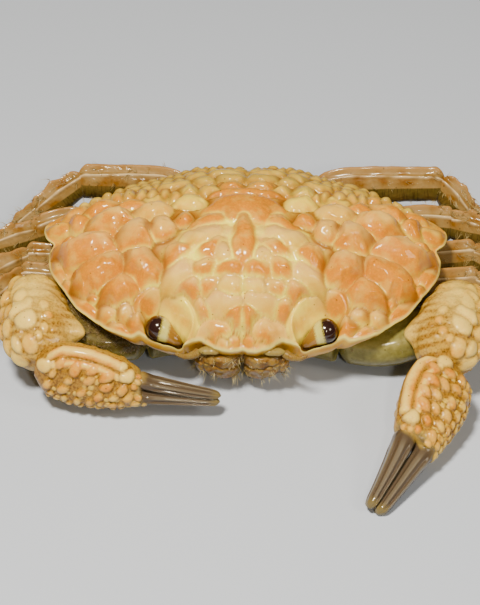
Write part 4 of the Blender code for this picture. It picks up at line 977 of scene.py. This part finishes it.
arm_surfaces = []
for side_name, side in (("left", 1), ("right", -1)):
    claw = CLAWS[side_name]
    size = claw["size"]
    for part, (way, *sizes) in ARM_PARTS.items():
        way = np.array(way) * (side, 1, 1)
        grid, spine_points, shares, angles = sweep(way, *sizes, ARM_UP, side, 70, 96, round_section, 0.12)
        ridge = sum(part_of * bell(wrapped(angles, at), width) for at, width, part_of in ARM_RIDGES)
        normal, along = grid_normals(grid, spine_points[:, None])
        collar = bell(shares - 0.93, 0.03)[:, None]
        grid = grid + normal * (0.3 * ridge[None] + 0.2 * collar)[..., None]
        arm_surfaces.append((grid, normal, along, side))
        below = held((6.0 - grid[..., 2]) / 4.0)
        # Browner upper part of the crab's right arm: partly its own brown, hairy colour and partly painted
        # shadow.
        brown = 0.6 * (side == -1) * held((grid[..., 2] - 4.5) / 1.5)
        fields = {"orange": 0.15 + 0.3 * below + brown, "pink": 0.5 * ridge[None] * (1 - brown),
                  "groove": 0.25 * (1 - ridge[None]) * below + brown}
        grid_piece(f"claw_{side_name}_{part}", grid, arm_skin, fields,
                   f"cheliped_{side_name}_{part}")

    grid, spine_points, shares, angles = sweep(claw["wrist"], *WRIST_SIZE, ARM_UP, side, 150, 150,
                                               round_section, 0.16)
    normal, along = grid_normals(grid, spine_points[:, None])
    # the wrist's inner tooth: the surface is drawn out towards its point
    tooth = np.array(claw["tooth"])
    path = np.array(claw["wrist"])
    middle = path[1] * 0.35 + path[2] * 0.65
    reach = np.linalg.norm(tooth - middle)
    toward = (tooth - middle) / reach
    offset = grid - middle
    ahead = offset @ toward
    off_axis = np.linalg.norm(offset - ahead[..., None] * toward, axis=-1)
    pull = bell(off_axis, WRIST_TOOTH_RADIUS) * held(ahead / 3)
    pulled = grid + toward * (pull * np.clip(reach - ahead, 0, None))[..., None]
    wrist_lobes = [(share, 180 - degrees, 1.25 * length, 1.2 * width, -turn, 0.8 * rise, *hues)
                   for share, degrees, length, width, turn, rise, *hues in WRIST_LOBES]
    rise, depth, own, orange, pink = raise_lobes(grid, normal, along, shares, angles, wrist_lobes, 1.15)
    spots, *_ = raise_lobes(grid, normal, along, shares, angles,
                            small_knobs(WRIST_SPOTS, (0.1, 0.95), (60, 240), (0.35, 0.55), 0.2))
    at, width, share, length = WRIST_SADDLE
    saddle = bell(wrapped(angles, at), width)[None] * bell(shares - share, length)[:, None]
    outside = np.clip(0.2 - own, 0, 0.4) / 0.4
    rise = rise + spots * outside * (1 - saddle)
    swell = 0.14 * slanted_ripple(grid, 3.2, 42)
    grid = pulled + normal * (rise + swell)[..., None]
    groove = bell(depth, 0.3) * (1 - 0.85 * saddle) * (1 - 0.8 * pull)
    pink = np.maximum(pink, 0.9 * pull)
    streaks = held(0.5 + 0.7 * ripple(grid[..., 0] * 0.6, grid[..., 1] * 1.6 + grid[..., 2], 2.6, 43))
    fields = {"orange": orange * held(rise / 0.3) * (1 - pull),
              "pink": np.maximum(pink, saddle * (0.5 + 0.5 * streaks)),
              "groove": groove * (0.65 + 0.35 * streaks)}
    grid_piece(f"claw_{side_name}_wrist", grid, claw_shell, fields,
               f"cheliped_{side_name}_carpus")

    hand_lobes = list(HAND_LOBES)
    for degrees, first, last, count, radius, rise, tint, blush in HAND_KNOB_ROWS:
        for share in np.linspace(first, last, count):
            r = radius * knob_draw.uniform(0.85, 1.15)
            hand_lobes.append((share + knob_draw.uniform(-0.03, 0.03), degrees + knob_draw.uniform(-4, 4),
                               r * 1.3, r * 0.88, 55 + knob_draw.uniform(-30, 30),
                               rise * knob_draw.uniform(0.8, 1.15), tint + knob_draw.uniform(-0.2, 0.2),
                               blush + knob_draw.uniform(-0.2, 0.2)))
    hand_lobes = np.array(hand_lobes) * (1, 1, size, size, 1, size, 1, 1)
    beads = small_knobs(HAND_BEADS, (0.08, 1.05), (-95, 30), (0.2, 0.36), 0.16)
    for part, stations in (("palm", PALM_STATIONS), ("finger", FINGER_STATIONS)):
        grid, spine_points, shares, angles = hand_grid(claw, stations, 260 if part == "palm" else 120, 170)
        normal, along = grid_normals(grid, spine_points)
        rise, depth, own, orange, pink = raise_lobes(grid, normal, along, shares, angles, hand_lobes)
        bead_rise, *_ = raise_lobes(grid, normal, along, shares, angles, beads)
        bead_rise = bead_rise * np.clip(0.1 - own, 0, 0.2) / 0.2
        if part == "finger":
            rise, depth, bead_rise = rise * 0, depth * 0, bead_rise * 0
        for way, half_width, height, tint, blush in HAND_RIDGES if part == "palm" else ():
            ways = np.array(way)
            centre = np.interp(shares, ways[:, 0], ways[:, 1])
            window = (held((shares - ways[0, 0]) / 0.08) * held((ways[-1, 0] - shares) / 0.08))[:, None]
            q = held(np.abs(wrapped(angles[None], centre[:, None])) / half_width)
            ridge = height * size * (1 - q**2.2) ** 0.7 * window
            higher = ridge > rise
            orange = np.where(higher, tint * held(0.2 + 1.5 * q), orange)
            pink = np.where(higher, held(blush + 0.65 - 1.1 * q), pink)
            rise = np.maximum(rise, ridge)
            depth = np.maximum(depth, 1.5 * (1 - q) * window)
        ragged = 0.04 * slanted_ripple(grid, 3.0, 41)
        fingers = held((shares[:, None] + ragged - 0.9) / 0.2)
        fingers = fingers**2 * (3 - 2 * fingers)
        flutes = sum(part_of * np.cos(np.radians(wrapped(angles, first)) * number)
                     for part_of, first, number in FINGER_FLUTES)
        flutes = flutes[None] * held((shares - FLUTES_FROM) / 0.15)[:, None]
        flutes = flutes * held((2.0 - shares) / 0.15)[:, None]
        grid = grid + normal * (rise + bead_rise * (rise < 0.1) + FLUTE_DEPTH * flutes * size)[..., None]
        tip = held((shares - FINGER_TIP) / 0.1)[:, None]
        recess = bell(depth, 0.3) * (1 - fingers) * (1 - np.clip(bead_rise / 0.14, 0, 0.7))
        inner = held((np.abs(wrapped(angles, 0)) - 80) / 30)[None]
        knob = held(rise / 0.3)
        fields = {"orange": orange * knob + 0.3 * inner, "pink": pink * knob,
                  "groove": recess * (1.0 - 0.4 * inner), "finger": fingers * (1 - knob),
                  "flute": 0.7 * fingers * held(flutes) ** 1.5, "tip": tip * 0.6}
        grid_piece(f"claw_{side_name}_{part}", grid, claw_shell, fields,
                   f"cheliped_{side_name}_{part}")


# Walking legs
# Four pairs, flattened from front to back, each with a thin crest on top and a second ridge
# along the front face. Every segment's root sits in the flared end of the one before it.
LEGS = {
    "leg2_left": ((9.5, -1.4, 4.8), (15.0, -0.6, 4.9), (34.8, 1.8, 5.6), (40.8, -3.8, 6.0),
                  (42.8, -10.4, 3.7), (40.8, -16.6, 0.2)),
    "leg3_left": ((9.5, 3.6, 5.0), (15.0, 4.6, 5.2), (34.6, 7.2, 6.6), (41.4, 2.6, 6.4),
                  (45.6, -3.6, 3.9), (46.0, -10.0, 0.2)),
    "leg4_left": ((9.0, 7.8, 5.4), (14.5, 10.0, 6.2), (24.6, 12.4, 8.4), (31.2, 12.8, 8.3),
                  (37.4, 10.4, 8.6), (43.0, 6.6, 5.2), (46.4, 1.4, 0.2)),
    "leg5_left": ((6.0, 10.4, 6.2), (11.0, 18.6, 8.2), (15.2, 20.4, 9.4), (30.0, 19.9, 10.6),
                  (33.6, 17.6, 7.6), (39.0, 15.8, 4.0), (44.6, 14.0, 0.2)),
    "leg2_right": ((-9.5, -1.3, 4.9), (-15.0, -0.5, 5.0), (-33.4, 1.2, 5.6), (-38.0, -4.8, 5.6),
                   (-38.8, -11.8, 3.4), (-36.6, -18.0, 0.2)),
    "leg3_right": ((-9.5, 3.6, 5.0), (-15.0, 4.2, 5.2), (-33.0, 5.6, 5.8), (-39.8, 0.4, 5.5),
                   (-43.4, -5.6, 3.5), (-43.2, -12.0, 0.2)),
    "leg4_right": ((-9.0, 7.8, 5.4), (-14.5, 9.8, 6.4), (-26.0, 11.4, 8.0), (-32.0, 10.6, 6.9),
                   (-39.2, 6.8, 7.0), (-45.0, 3.2, 4.4), (-48.8, -1.0, 0.2)),
    "leg5_right": ((-6.0, 10.4, 6.2), (-10.4, 19.2, 9.0), (-25.8, 19.2, 10.6), (-32.2, 15.6, 7.6),
                   (-36.4, 14.8, 3.4), (-40.6, 14.2, 0.2)),
}
LEG_SEGMENTS = {  # half thickness and half height at the start, middle and end
    "merus": ((1.7, 1.8, 1.7), (1.9, 2.8, 2.5)),
    "carpus": ((1.3, 1.7, 1.3), (1.9, 2.6, 1.8)),
    "propodus": ((1.1, 1.4, 1.1), (1.5, 1.9, 1.3)),
    "dactyl": ((0.9, 0.8, 0.4), (1.1, 0.95, 0.4)),
}
LEG_OVERLAP = 0.9  # how far a segment runs into its neighbours
CREST_DEGREES, CREST_WIDTH, CREST_RISE = 90, 8, 0.3
RIDGE_DEGREES = {"merus": (74, 56, 44), "carpus": (46, 42, 40), "propodus": (42, 40, 40),
                 "dactyl": (40, 40, 40)}
RIDGE_WIDTH, RIDGE_RISE = 5, 0.16
CREST_LOBES = {"merus": 0, "carpus": 3, "propodus": 3, "dactyl": 0}

leg_shell = shell_material("thin leg chitin", (
    "#8C7034", "#8C5A14", "#5E380C", "#96784E", "#4A3E18", "#2E1E0C"), 0.4, 0.06,
    layers=(("lower", "#54451A"), ("ridge", "#DCC49C"), ("crest", "#A87A44"), ("tip", "#5E3C16")),
    cloud_mm=1.2, coat=0.5, specks=0.5, scratches="lower")


def leg_ridge(segment, angles, shares, width):
    """Bell curve in angle about the second ridge, which leaves the crest towards the knee."""
    centre = np.interp(shares, (0, 0.5, 1), RIDGE_DEGREES[segment])[:, None]
    return bell(wrapped(angles[None], centre), width)


def leg_section(segment):
    """Section of a leg: an oval with a thin crest and a second ridge, each a bell curve in angle."""
    def section(angles, shares):
        crest = bell(wrapped(angles, CREST_DEGREES), CREST_WIDTH)
        lobes = CREST_LOBES[segment]
        wave = 1 + (0.2 * np.cos(shares * 2 * math.pi * lobes + 2.6) if lobes else 0 * shares)
        hollow = 0.07 * bell(wrapped(angles, 66), 12) + 0.06 * bell(wrapped(angles, 10), 24)
        radius = 0.97 + CREST_RISE * crest[None] * wave[:, None] - hollow[None]
        radius = radius + RIDGE_RISE * leg_ridge(segment, angles, shares, RIDGE_WIDTH)
        return np.cos(angles)[None] * radius, np.sin(angles)[None] * radius
    return section


leg_surfaces = []
for name, way in LEGS.items():
    side = 1 if name.endswith("left") else -1
    joints = [np.array(p, float) for p in way]
    rest = joints[-4:]
    paths = {"merus": joints[:-3], "carpus": rest[0:2], "propodus": rest[1:3], "dactyl": rest[2:4]}
    for segment, path in paths.items():
        widths, heights = LEG_SEGMENTS[segment]
        path = list(path)
        path[0] = path[0] - unit(path[1] - path[0]) * LEG_OVERLAP
        if segment != "dactyl":
            path[-1] = path[-1] + unit(path[-1] - path[-2]) * LEG_OVERLAP
        else:
            path.insert(1, path[0] * 0.45 + path[1] * 0.55 + np.array((0.5 * side, 0, 0.5)))
        closing = 0.06 if segment == "merus" else 0.14
        grid, spine_points, shares, angles = sweep(path, widths, heights, (0, 0.25, 1), side, 80, 90,
                                                   leg_section(segment), closing)
        normal, along = grid_normals(grid, spine_points[:, None])
        crest = bell(wrapped(angles, CREST_DEGREES), 0.9 * CREST_WIDTH)[None]
        ridge = leg_ridge(segment, angles, shares, 0.9 * RIDGE_WIDTH)
        collar = bell(shares - 0.95, 0.025)[:, None] * (segment != "dactyl")
        rough = 0.02 * slanted_ripple(grid, 0.9, 31)
        rough += 0.04 * ripple(grid[..., 0] - grid[..., 1], grid[..., 1] + grid[..., 2], 3.4, 32)
        grid = grid + normal * (rough + 0.1 * collar)[..., None]
        below = np.interp(shares, (0, 0.5, 1), RIDGE_DEGREES[segment])[:, None] - 4
        low = held((below - np.degrees(angles)[None]) / 6) * held(wrapped(angles, -175) / 14)
        hind = held((np.abs(wrapped(angles, 0)) - 110) / 20)
        patch = held(0.45 + 0.5 * ripple(grid[..., 0] * 1.1, grid[..., 1] * 0.8 + grid[..., 2], 5.0, 33))
        tip = held((shares - 0.85) / 0.12)[:, None] * (segment == "dactyl")
        broken = held(0.75 + 0.6 * ripple(grid[..., 0], grid[..., 1], 2.6, 34))
        length = np.linalg.norm(np.diff(np.array(path), axis=0), axis=1).sum()
        fields = {"orange": patch * 0.8, "pink": 0.9 * (1 - patch) * (1 - hind[None]),
                  "groove": 0.45 * hind[None] * patch, "lower": low * (1.0 - 0.3 * patch),
                  "ridge": 0.8 * ridge * broken, "crest": 0.75 * crest, "tip": 0.8 * tip,
                  "along": length * shares[:, None], "around": np.radians(wrapped(angles, 0))[None]}
        leg_surfaces.append((grid, normal, along, segment))
        grid_piece(f"{name}_{segment}_shell", grid, leg_shell, fields, f"{name}_{segment}")


# Mouthparts and feelers
# The outer mouthparts are two thin plates of amber chitin that close the mouth like doors. The
# short feelers lie folded in their pits and the long ones curve along the eye sockets.
MAXILLIPED_RINGS = (  # height, inner x, outer x, front y, rear y
    (2.7, 0.6, 3.6, -16.4, -14.4), (3.2, 0.25, 5.0, -17.2, -14.0), (5.0, 0.25, 6.8, -18.2, -14.0),
    (6.6, 0.25, 6.9, -18.6, -15.0), (7.5, 0.25, 6.2, -18.5, -16.2), (7.9, 0.6, 5.0, -18.2, -16.8),
)
ANTENNULE_CENTRE = (4.6, -17.9, 8.8)
ANTENNULE_SIZE = (1.7, 0.75, 0.55)
ANTENNA_PATH = ((6.2, -17.6, 8.3), (7.0, -18.6, 8.5), (8.2, -19.5, 9.0), (9.4, -19.9, 9.9))
ANTENNA_RADII = (0.65, 0.55, 0.32, 0.22)
mouth_shell = shell_material("amber mouthpart chitin", (
    "#8C6C2A", "#8A5412", "#52300A", "#90864C", "#66461A", "#3A2612"), 0.42, 0.06,
    cloud_mm=0.7, coat=0.5, specks=0.5)

mouth_surfaces = []
for side_name, side in (("left", 1), ("right", -1)):
    rings = np.array(MAXILLIPED_RINGS)
    height = np.linspace(rings[0, 0], rings[-1, 0], 60)
    inner, outer, ahead, behind = (np.interp(height, rings[:, 0], rings[:, k]) for k in (1, 2, 3, 4))
    angles = turn_round(110)
    x = (inner + outer)[:, None] / 2 + (outer - inner)[:, None] / 2 * squared(np.cos(angles), 0.75)
    y = (ahead + behind)[:, None] / 2 + (behind - ahead)[:, None] / 2 * squared(np.sin(angles), 0.8)
    z = height[:, None] + 0 * x
    bulge = 0.35 * bell(x - 2.8, 1.1) + 0.25 * bell(x - 5.9, 0.6)
    seam = bell(z - 6.1 - 0.3 * (x - 3), 0.22) + bell(x - 4.9 - 0.1 * z, 0.2)
    lumps = 0.12 * ripple(x * 1.3, z, 1.7, 51) + 0.05 * ripple(x, z, 0.6, 52)
    y = y - (bulge + lumps - 0.3 * held(seam)) * (y < -15.5)
    grid = np.stack([x * side, y, z], axis=-1)
    normal, along = grid_normals(grid, grid.mean(axis=(0, 1)))
    mouth_surfaces.append((grid, normal, along, side))
    fields = {"orange": held(0.5 + 0.3 * np.sin(x * 2 + z)), "pink": 0.2,
              "groove": held(0.7 * seam + 0.7 * ripple(x, z, 2.4, 53))}
    grid_piece(f"mouth_plate_{side_name}", grid, mouth_shell, fields, f"maxilliped_{side_name}")

    polar = np.linspace(0.03, math.pi - 0.03, 30)
    turn = turn_round(48)
    ring = (np.sin(polar) * (1 + 0.06 * np.cos(6 * polar)))[:, None]
    grid = np.stack([np.cos(polar)[:, None] + 0 * turn, ring * np.cos(turn), ring * np.sin(turn)], axis=-1)
    grid = (grid * ANTENNULE_SIZE + ANTENNULE_CENTRE) * (side, 1, 1)
    grid_piece(f"short_feeler_{side_name}", grid, mouth_shell, {"orange": 0.2, "pink": 0.7, "groove": 0.1},
               f"antennule_{side_name}")

    path = np.array(ANTENNA_PATH) * (side, 1, 1)
    grid, spine_points, shares, angles = sweep(path, ANTENNA_RADII, ANTENNA_RADII, (0, 0, 1), side, 60, 24,
                                               round_section, 0.06)
    normal, along = grid_normals(grid, spine_points[:, None])
    segments = 0.05 * np.cos(shares * 2 * math.pi * 14)
    grid = grid + normal * segments[:, None, None]
    fields = {"orange": 0.5, "pink": 0.4, "groove": (segments[:, None] < -0.03) * 0.5}
    grid_piece(f"long_feeler_{side_name}", grid, mouth_shell, fields, f"antenna_{side_name}")


# Hair
# Stiff golden hairs of chitin fringe the edges of the legs, short brown ones cover the crab's right
# arm, and pale bristles stand at the mouth. A tuft is four thin three-sided hairs from one root.
LEG_TUFTS = 58
LEG_HAIR_DEGREES = (-160.0, -120.0, -60.0, 20.0, 60.0, 84.0, 100.0, 150.0)
ARM_TUFTS = {1: 30, -1: 650}
MOUTH_TUFTS = 24
HAIRS_PER_TUFT = 4
HAIR_RINGS = 4
TUFT_PATCH = 0.003


def hair_material(name, root, end):
    """Fine hair of chitin: darker at its root, translucent and paler at its end."""
    material = plain_material(name, {"Roughness": 0.45, "Specular IOR Level": 0.4,
                                     "Transmission Weight": 0.15})
    tree = material.node_tree
    colour = blend(tree, attribute(tree, "reach"), root, end)
    tree.links.new(colour, tree.nodes["Principled BSDF"].inputs["Base Color"])
    return material


def make_hair(name, roots, ways, lies, lengths, places, material, draw, radius=0.05, spread=0.35):
    """Joined tufts: every hair runs from its root along its way and bends towards the lie.

    A hair's middle line is root + way t + lie t^2 times its length. Its radius narrows to a tenth
    at the end. The OFBake map puts each tuft in a small patch about its root's place.
    """
    count = len(roots) * HAIRS_PER_TUFT
    tuft = np.repeat(np.arange(len(roots)), HAIRS_PER_TUFT)
    way = unit(ways[tuft] + spread * draw.normal(size=(count, 3)))
    length = lengths[tuft] * draw.uniform(0.6, 1.1, count)
    start = roots[tuft] + 0.12 * draw.normal(size=(count, 3)) - 0.15 * way
    t = np.linspace(0, 1, HAIR_RINGS)[None, :, None]
    line = start[:, None] + length[:, None, None] * (way[:, None] * t + 0.5 * lies[tuft][:, None] * t**2)
    line[..., 2] = np.maximum(line[..., 2], 0.08)
    across = unit(np.cross(way, (0.31, 0.22, 0.93)))
    other = np.cross(way, across)
    turn = np.linspace(0, 2 * math.pi, 3, endpoint=False)
    ring = np.cos(turn)[None, :, None] * across[:, None] + np.sin(turn)[None, :, None] * other[:, None]
    thin = radius * (1 - 0.9 * t)[..., None]
    points = (line[:, :, None] + thin * ring[:, None]).reshape(-1, 3)
    base = np.arange(HAIR_RINGS * 3).reshape(HAIR_RINGS, 3)
    nxt = np.roll(base, -1, axis=1)
    sides = np.stack([base[:-1], nxt[:-1], nxt[1:], base[:-1], nxt[1:], base[1:]], axis=-1).reshape(-1, 3)
    ends = np.array([base[0, ::-1], base[-1]])
    pattern = np.vstack([sides, ends])
    faces = (pattern[None] + (np.arange(count) * HAIR_RINGS * 3)[:, None, None]).reshape(-1, 3)
    reach = np.broadcast_to(t[..., None], (count, HAIR_RINGS, 3, 1)).reshape(-1)
    piece = make_piece(name, points, faces, material, {"reach": reach})
    piece.data.shade_flat()
    corner = np.stack(np.broadcast_arrays(turn[None, None] / (2 * math.pi) - 0.33, t - 0.5), axis=-1)
    patch = places[tuft][:, None, None] + TUFT_PATCH * (corner + draw.uniform(-0.2, 0.2, (count, 1, 1, 2)))
    uv = piece.data.uv_layers.new(name="OFBake")
    loop_points = np.empty(len(piece.data.loops), dtype=np.int32)
    piece.data.loops.foreach_get("vertex_index", loop_points)
    uv.data.foreach_set("uv", patch.reshape(-1, 2)[loop_points].astype(np.float32).ravel())


hair_draw = np.random.default_rng(17)


def pick(mask, count):
    """Rows and columns of count random grid points where the mask is true."""
    spots = np.argwhere(mask)
    return spots[hair_draw.integers(len(spots), size=count)].T


def scatter_tufts(surfaces, choose, across, up):
    """Roots, normals, directions along the limb and places on the unwrap, a tile for each surface."""
    found = []
    for tile, (grid, normal, along, kind) in enumerate(surfaces):
        row, column = choose(grid, normal, kind)
        place = np.stack([row / grid.shape[0], column / grid.shape[1]], axis=1) * 0.92 + 0.04
        found.append(np.hstack([grid[row, column], normal[row, column], along[row, column],
                                (place + (tile % across, tile // across)) / (across, up)]))
    return np.split(np.concatenate(found), (3, 6, 9), axis=1)


def leg_edges(grid, normal, segment):
    """Places along the edges of a leg, closer together towards its outer joint."""
    rows, columns = grid.shape[:2]
    row = rows * (0.08 + 0.88 * hair_draw.random(LEG_TUFTS) ** 0.8)
    degrees = hair_draw.choice(LEG_HAIR_DEGREES, LEG_TUFTS) + hair_draw.normal(0, 12, LEG_TUFTS)
    return row.astype(int), ((degrees + 180) / 360 * columns).astype(int) % columns


def arm_top(grid, normal, side):
    """Places on the upper and front faces of an arm: many on the crab's right, few on its left."""
    return pick((normal[..., 2] > 0.1) & (normal[..., 1] < 0.4), ARM_TUFTS[side])


def mouth_front(grid, normal, side):
    return pick(normal[..., 1] < -0.1, MOUTH_TUFTS)


roots, outward, lengthwise, places = scatter_tufts(leg_surfaces, leg_edges, 8, 4)
jitter = 0.1 * hair_draw.normal(size=roots.shape)
make_hair("leg_hair", roots, outward + 0.4 * lengthwise, 0.5 * lengthwise + (0, 0, -0.25) + jitter,
          hair_draw.uniform(0.7, 1.8, len(roots)), places,
          hair_material("golden leg hair", "#7A5A24", "#D8C48A"), hair_draw, radius=0.045)

roots, outward, lengthwise, places = scatter_tufts(arm_surfaces, arm_top, 2, 2)
jitter = 0.2 * hair_draw.normal(size=roots.shape)
make_hair("arm_hair", roots, outward + 0.3 * lengthwise, 0.6 * lengthwise + (0, 0, -0.3) + jitter,
          hair_draw.uniform(0.4, 1.0, len(roots)), places,
          hair_material("brown arm hair", "#5A4426", "#C2AA84"), hair_draw, radius=0.04, spread=0.5)

roots, outward, lengthwise, places = scatter_tufts(mouth_surfaces, mouth_front, 2, 1)
sideways = np.sign(roots[:, :1]) * (1, 0, 0)
jitter = 0.15 * hair_draw.normal(size=roots.shape)
make_hair("mouth_bristles", roots, outward + 0.25 * sideways + (0, -0.1, -0.2),
          0.2 * sideways + (0, -0.1, -0.6) + jitter, 0.4 + 1.5 * hair_draw.random(len(roots)) ** 2, places,
          hair_material("pale mouth bristle", "#7E6428", "#DCCF9A"), hair_draw, radius=0.045,
          spread=0.5)


# Underside
# The breastplate is one pale plate with shallow seams between its fused segments, and the tail
# flap folds forward over its middle in seven jointed pieces. The crab lies on their flats.
BREAST_HALF_LENGTH = 12.6
BREAST_HALF_WIDTH = 11.2
BREAST_RINGS = (  # share of the half sizes, height
    (0.0, 3.5), (0.98, 3.5), (1.0, 3.3), (1.0, 2.4), (0.9, 0.9), (0.8, 0.2), (0.74, 0.0), (0.0, 0.0),
)
BREAST_SEAMS = 5
BREAST_SEAM_SPACING = 3.6
ABDOMEN_PATH = ((0.0, -6.4, 0.6), (0.0, -4.0, 0.6), (0.0, 4.0, 0.6), (0.0, 11.0, 0.8),
                (0.0, 14.4, 2.4), (0.0, 16.6, 6.0), (0.0, 17.4, 9.6))
ABDOMEN_HALF_WIDTHS = (0.7, 1.7, 2.7, 3.5, 3.9, 4.3, 4.6)
ABDOMEN_HALF_THICKNESS = 0.75
ABDOMEN_SEGMENTS = 7
belly_shell = shell_material("pale breastplate chitin", (
    "#CDB878", "#C08A48", "#A56E30", "#D8CBA4", "#8E7A3E", "#5A4420"), 0.45, 0.05, cloud_mm=2.5, coat=0.4)

share = np.linspace(0, len(BREAST_RINGS) - 1, 130)
rings = np.array(BREAST_RINGS)
ring_share, ring_height = (np.interp(share, np.arange(len(rings)), rings[:, k])[:, None] for k in (0, 1))
angles = turn_round(220)
x = ring_share * np.cos(angles) * BREAST_HALF_WIDTH
y = ring_share * np.sin(angles) * BREAST_HALF_LENGTH
seam = np.zeros_like(x)
for k in range(BREAST_SEAMS):
    seam = np.maximum(seam, bell(y - 7.5 + BREAST_SEAM_SPACING * k - 0.25 * np.abs(x), 0.22))
seam *= held((np.abs(x) - 2.0) / 1.0) * (ring_height < 2.6)
trough = 1.35 * (np.abs(x) < ABDOMEN_HALF_WIDTHS[3] + 0.4) * (y > -7.2) * (ring_height < 1.5)
grid = np.stack([x, y, ring_height + 0.22 * seam + trough], axis=-1)
grid_piece("breastplate", grid, belly_shell, {"orange": 0.15, "pink": 0.35, "groove": seam},
           "sternum")

share = np.linspace(0, 1, 160)
centres, axis = walk(curve_through(np.array(ABDOMEN_PATH), 20), share)
top = np.cross((1.0, 0.0, 0.0), axis)
half_width = np.interp(share, np.linspace(0, 1, len(ABDOMEN_HALF_WIDTHS)), ABDOMEN_HALF_WIDTHS)
half_width *= rounded(share, 0.05, 0.05)
angles = turn_round(90)
joint_line = held((np.cos(share * 2 * math.pi * ABDOMEN_SEGMENTS + math.pi) - 0.86) / 0.14)
thick = ABDOMEN_HALF_THICKNESS * (1 - 0.25 * joint_line)
across, upward = squared(np.cos(angles), 0.6), squared(np.sin(angles), 0.7)
grid = (centres[:, None] + (across[None] * (half_width * (1 - 0.03 * joint_line))[:, None])[..., None]
        * np.array((1.0, 0, 0)) + (upward[None] * thick[:, None])[..., None] * top[:, None])
grid[..., 2] = np.maximum(grid[..., 2], 0.0)
grid_piece("tail_flap", grid, belly_shell, {"orange": 0.25, "pink": 0.3, "groove": joint_line[:, None]},
           "abdomen")
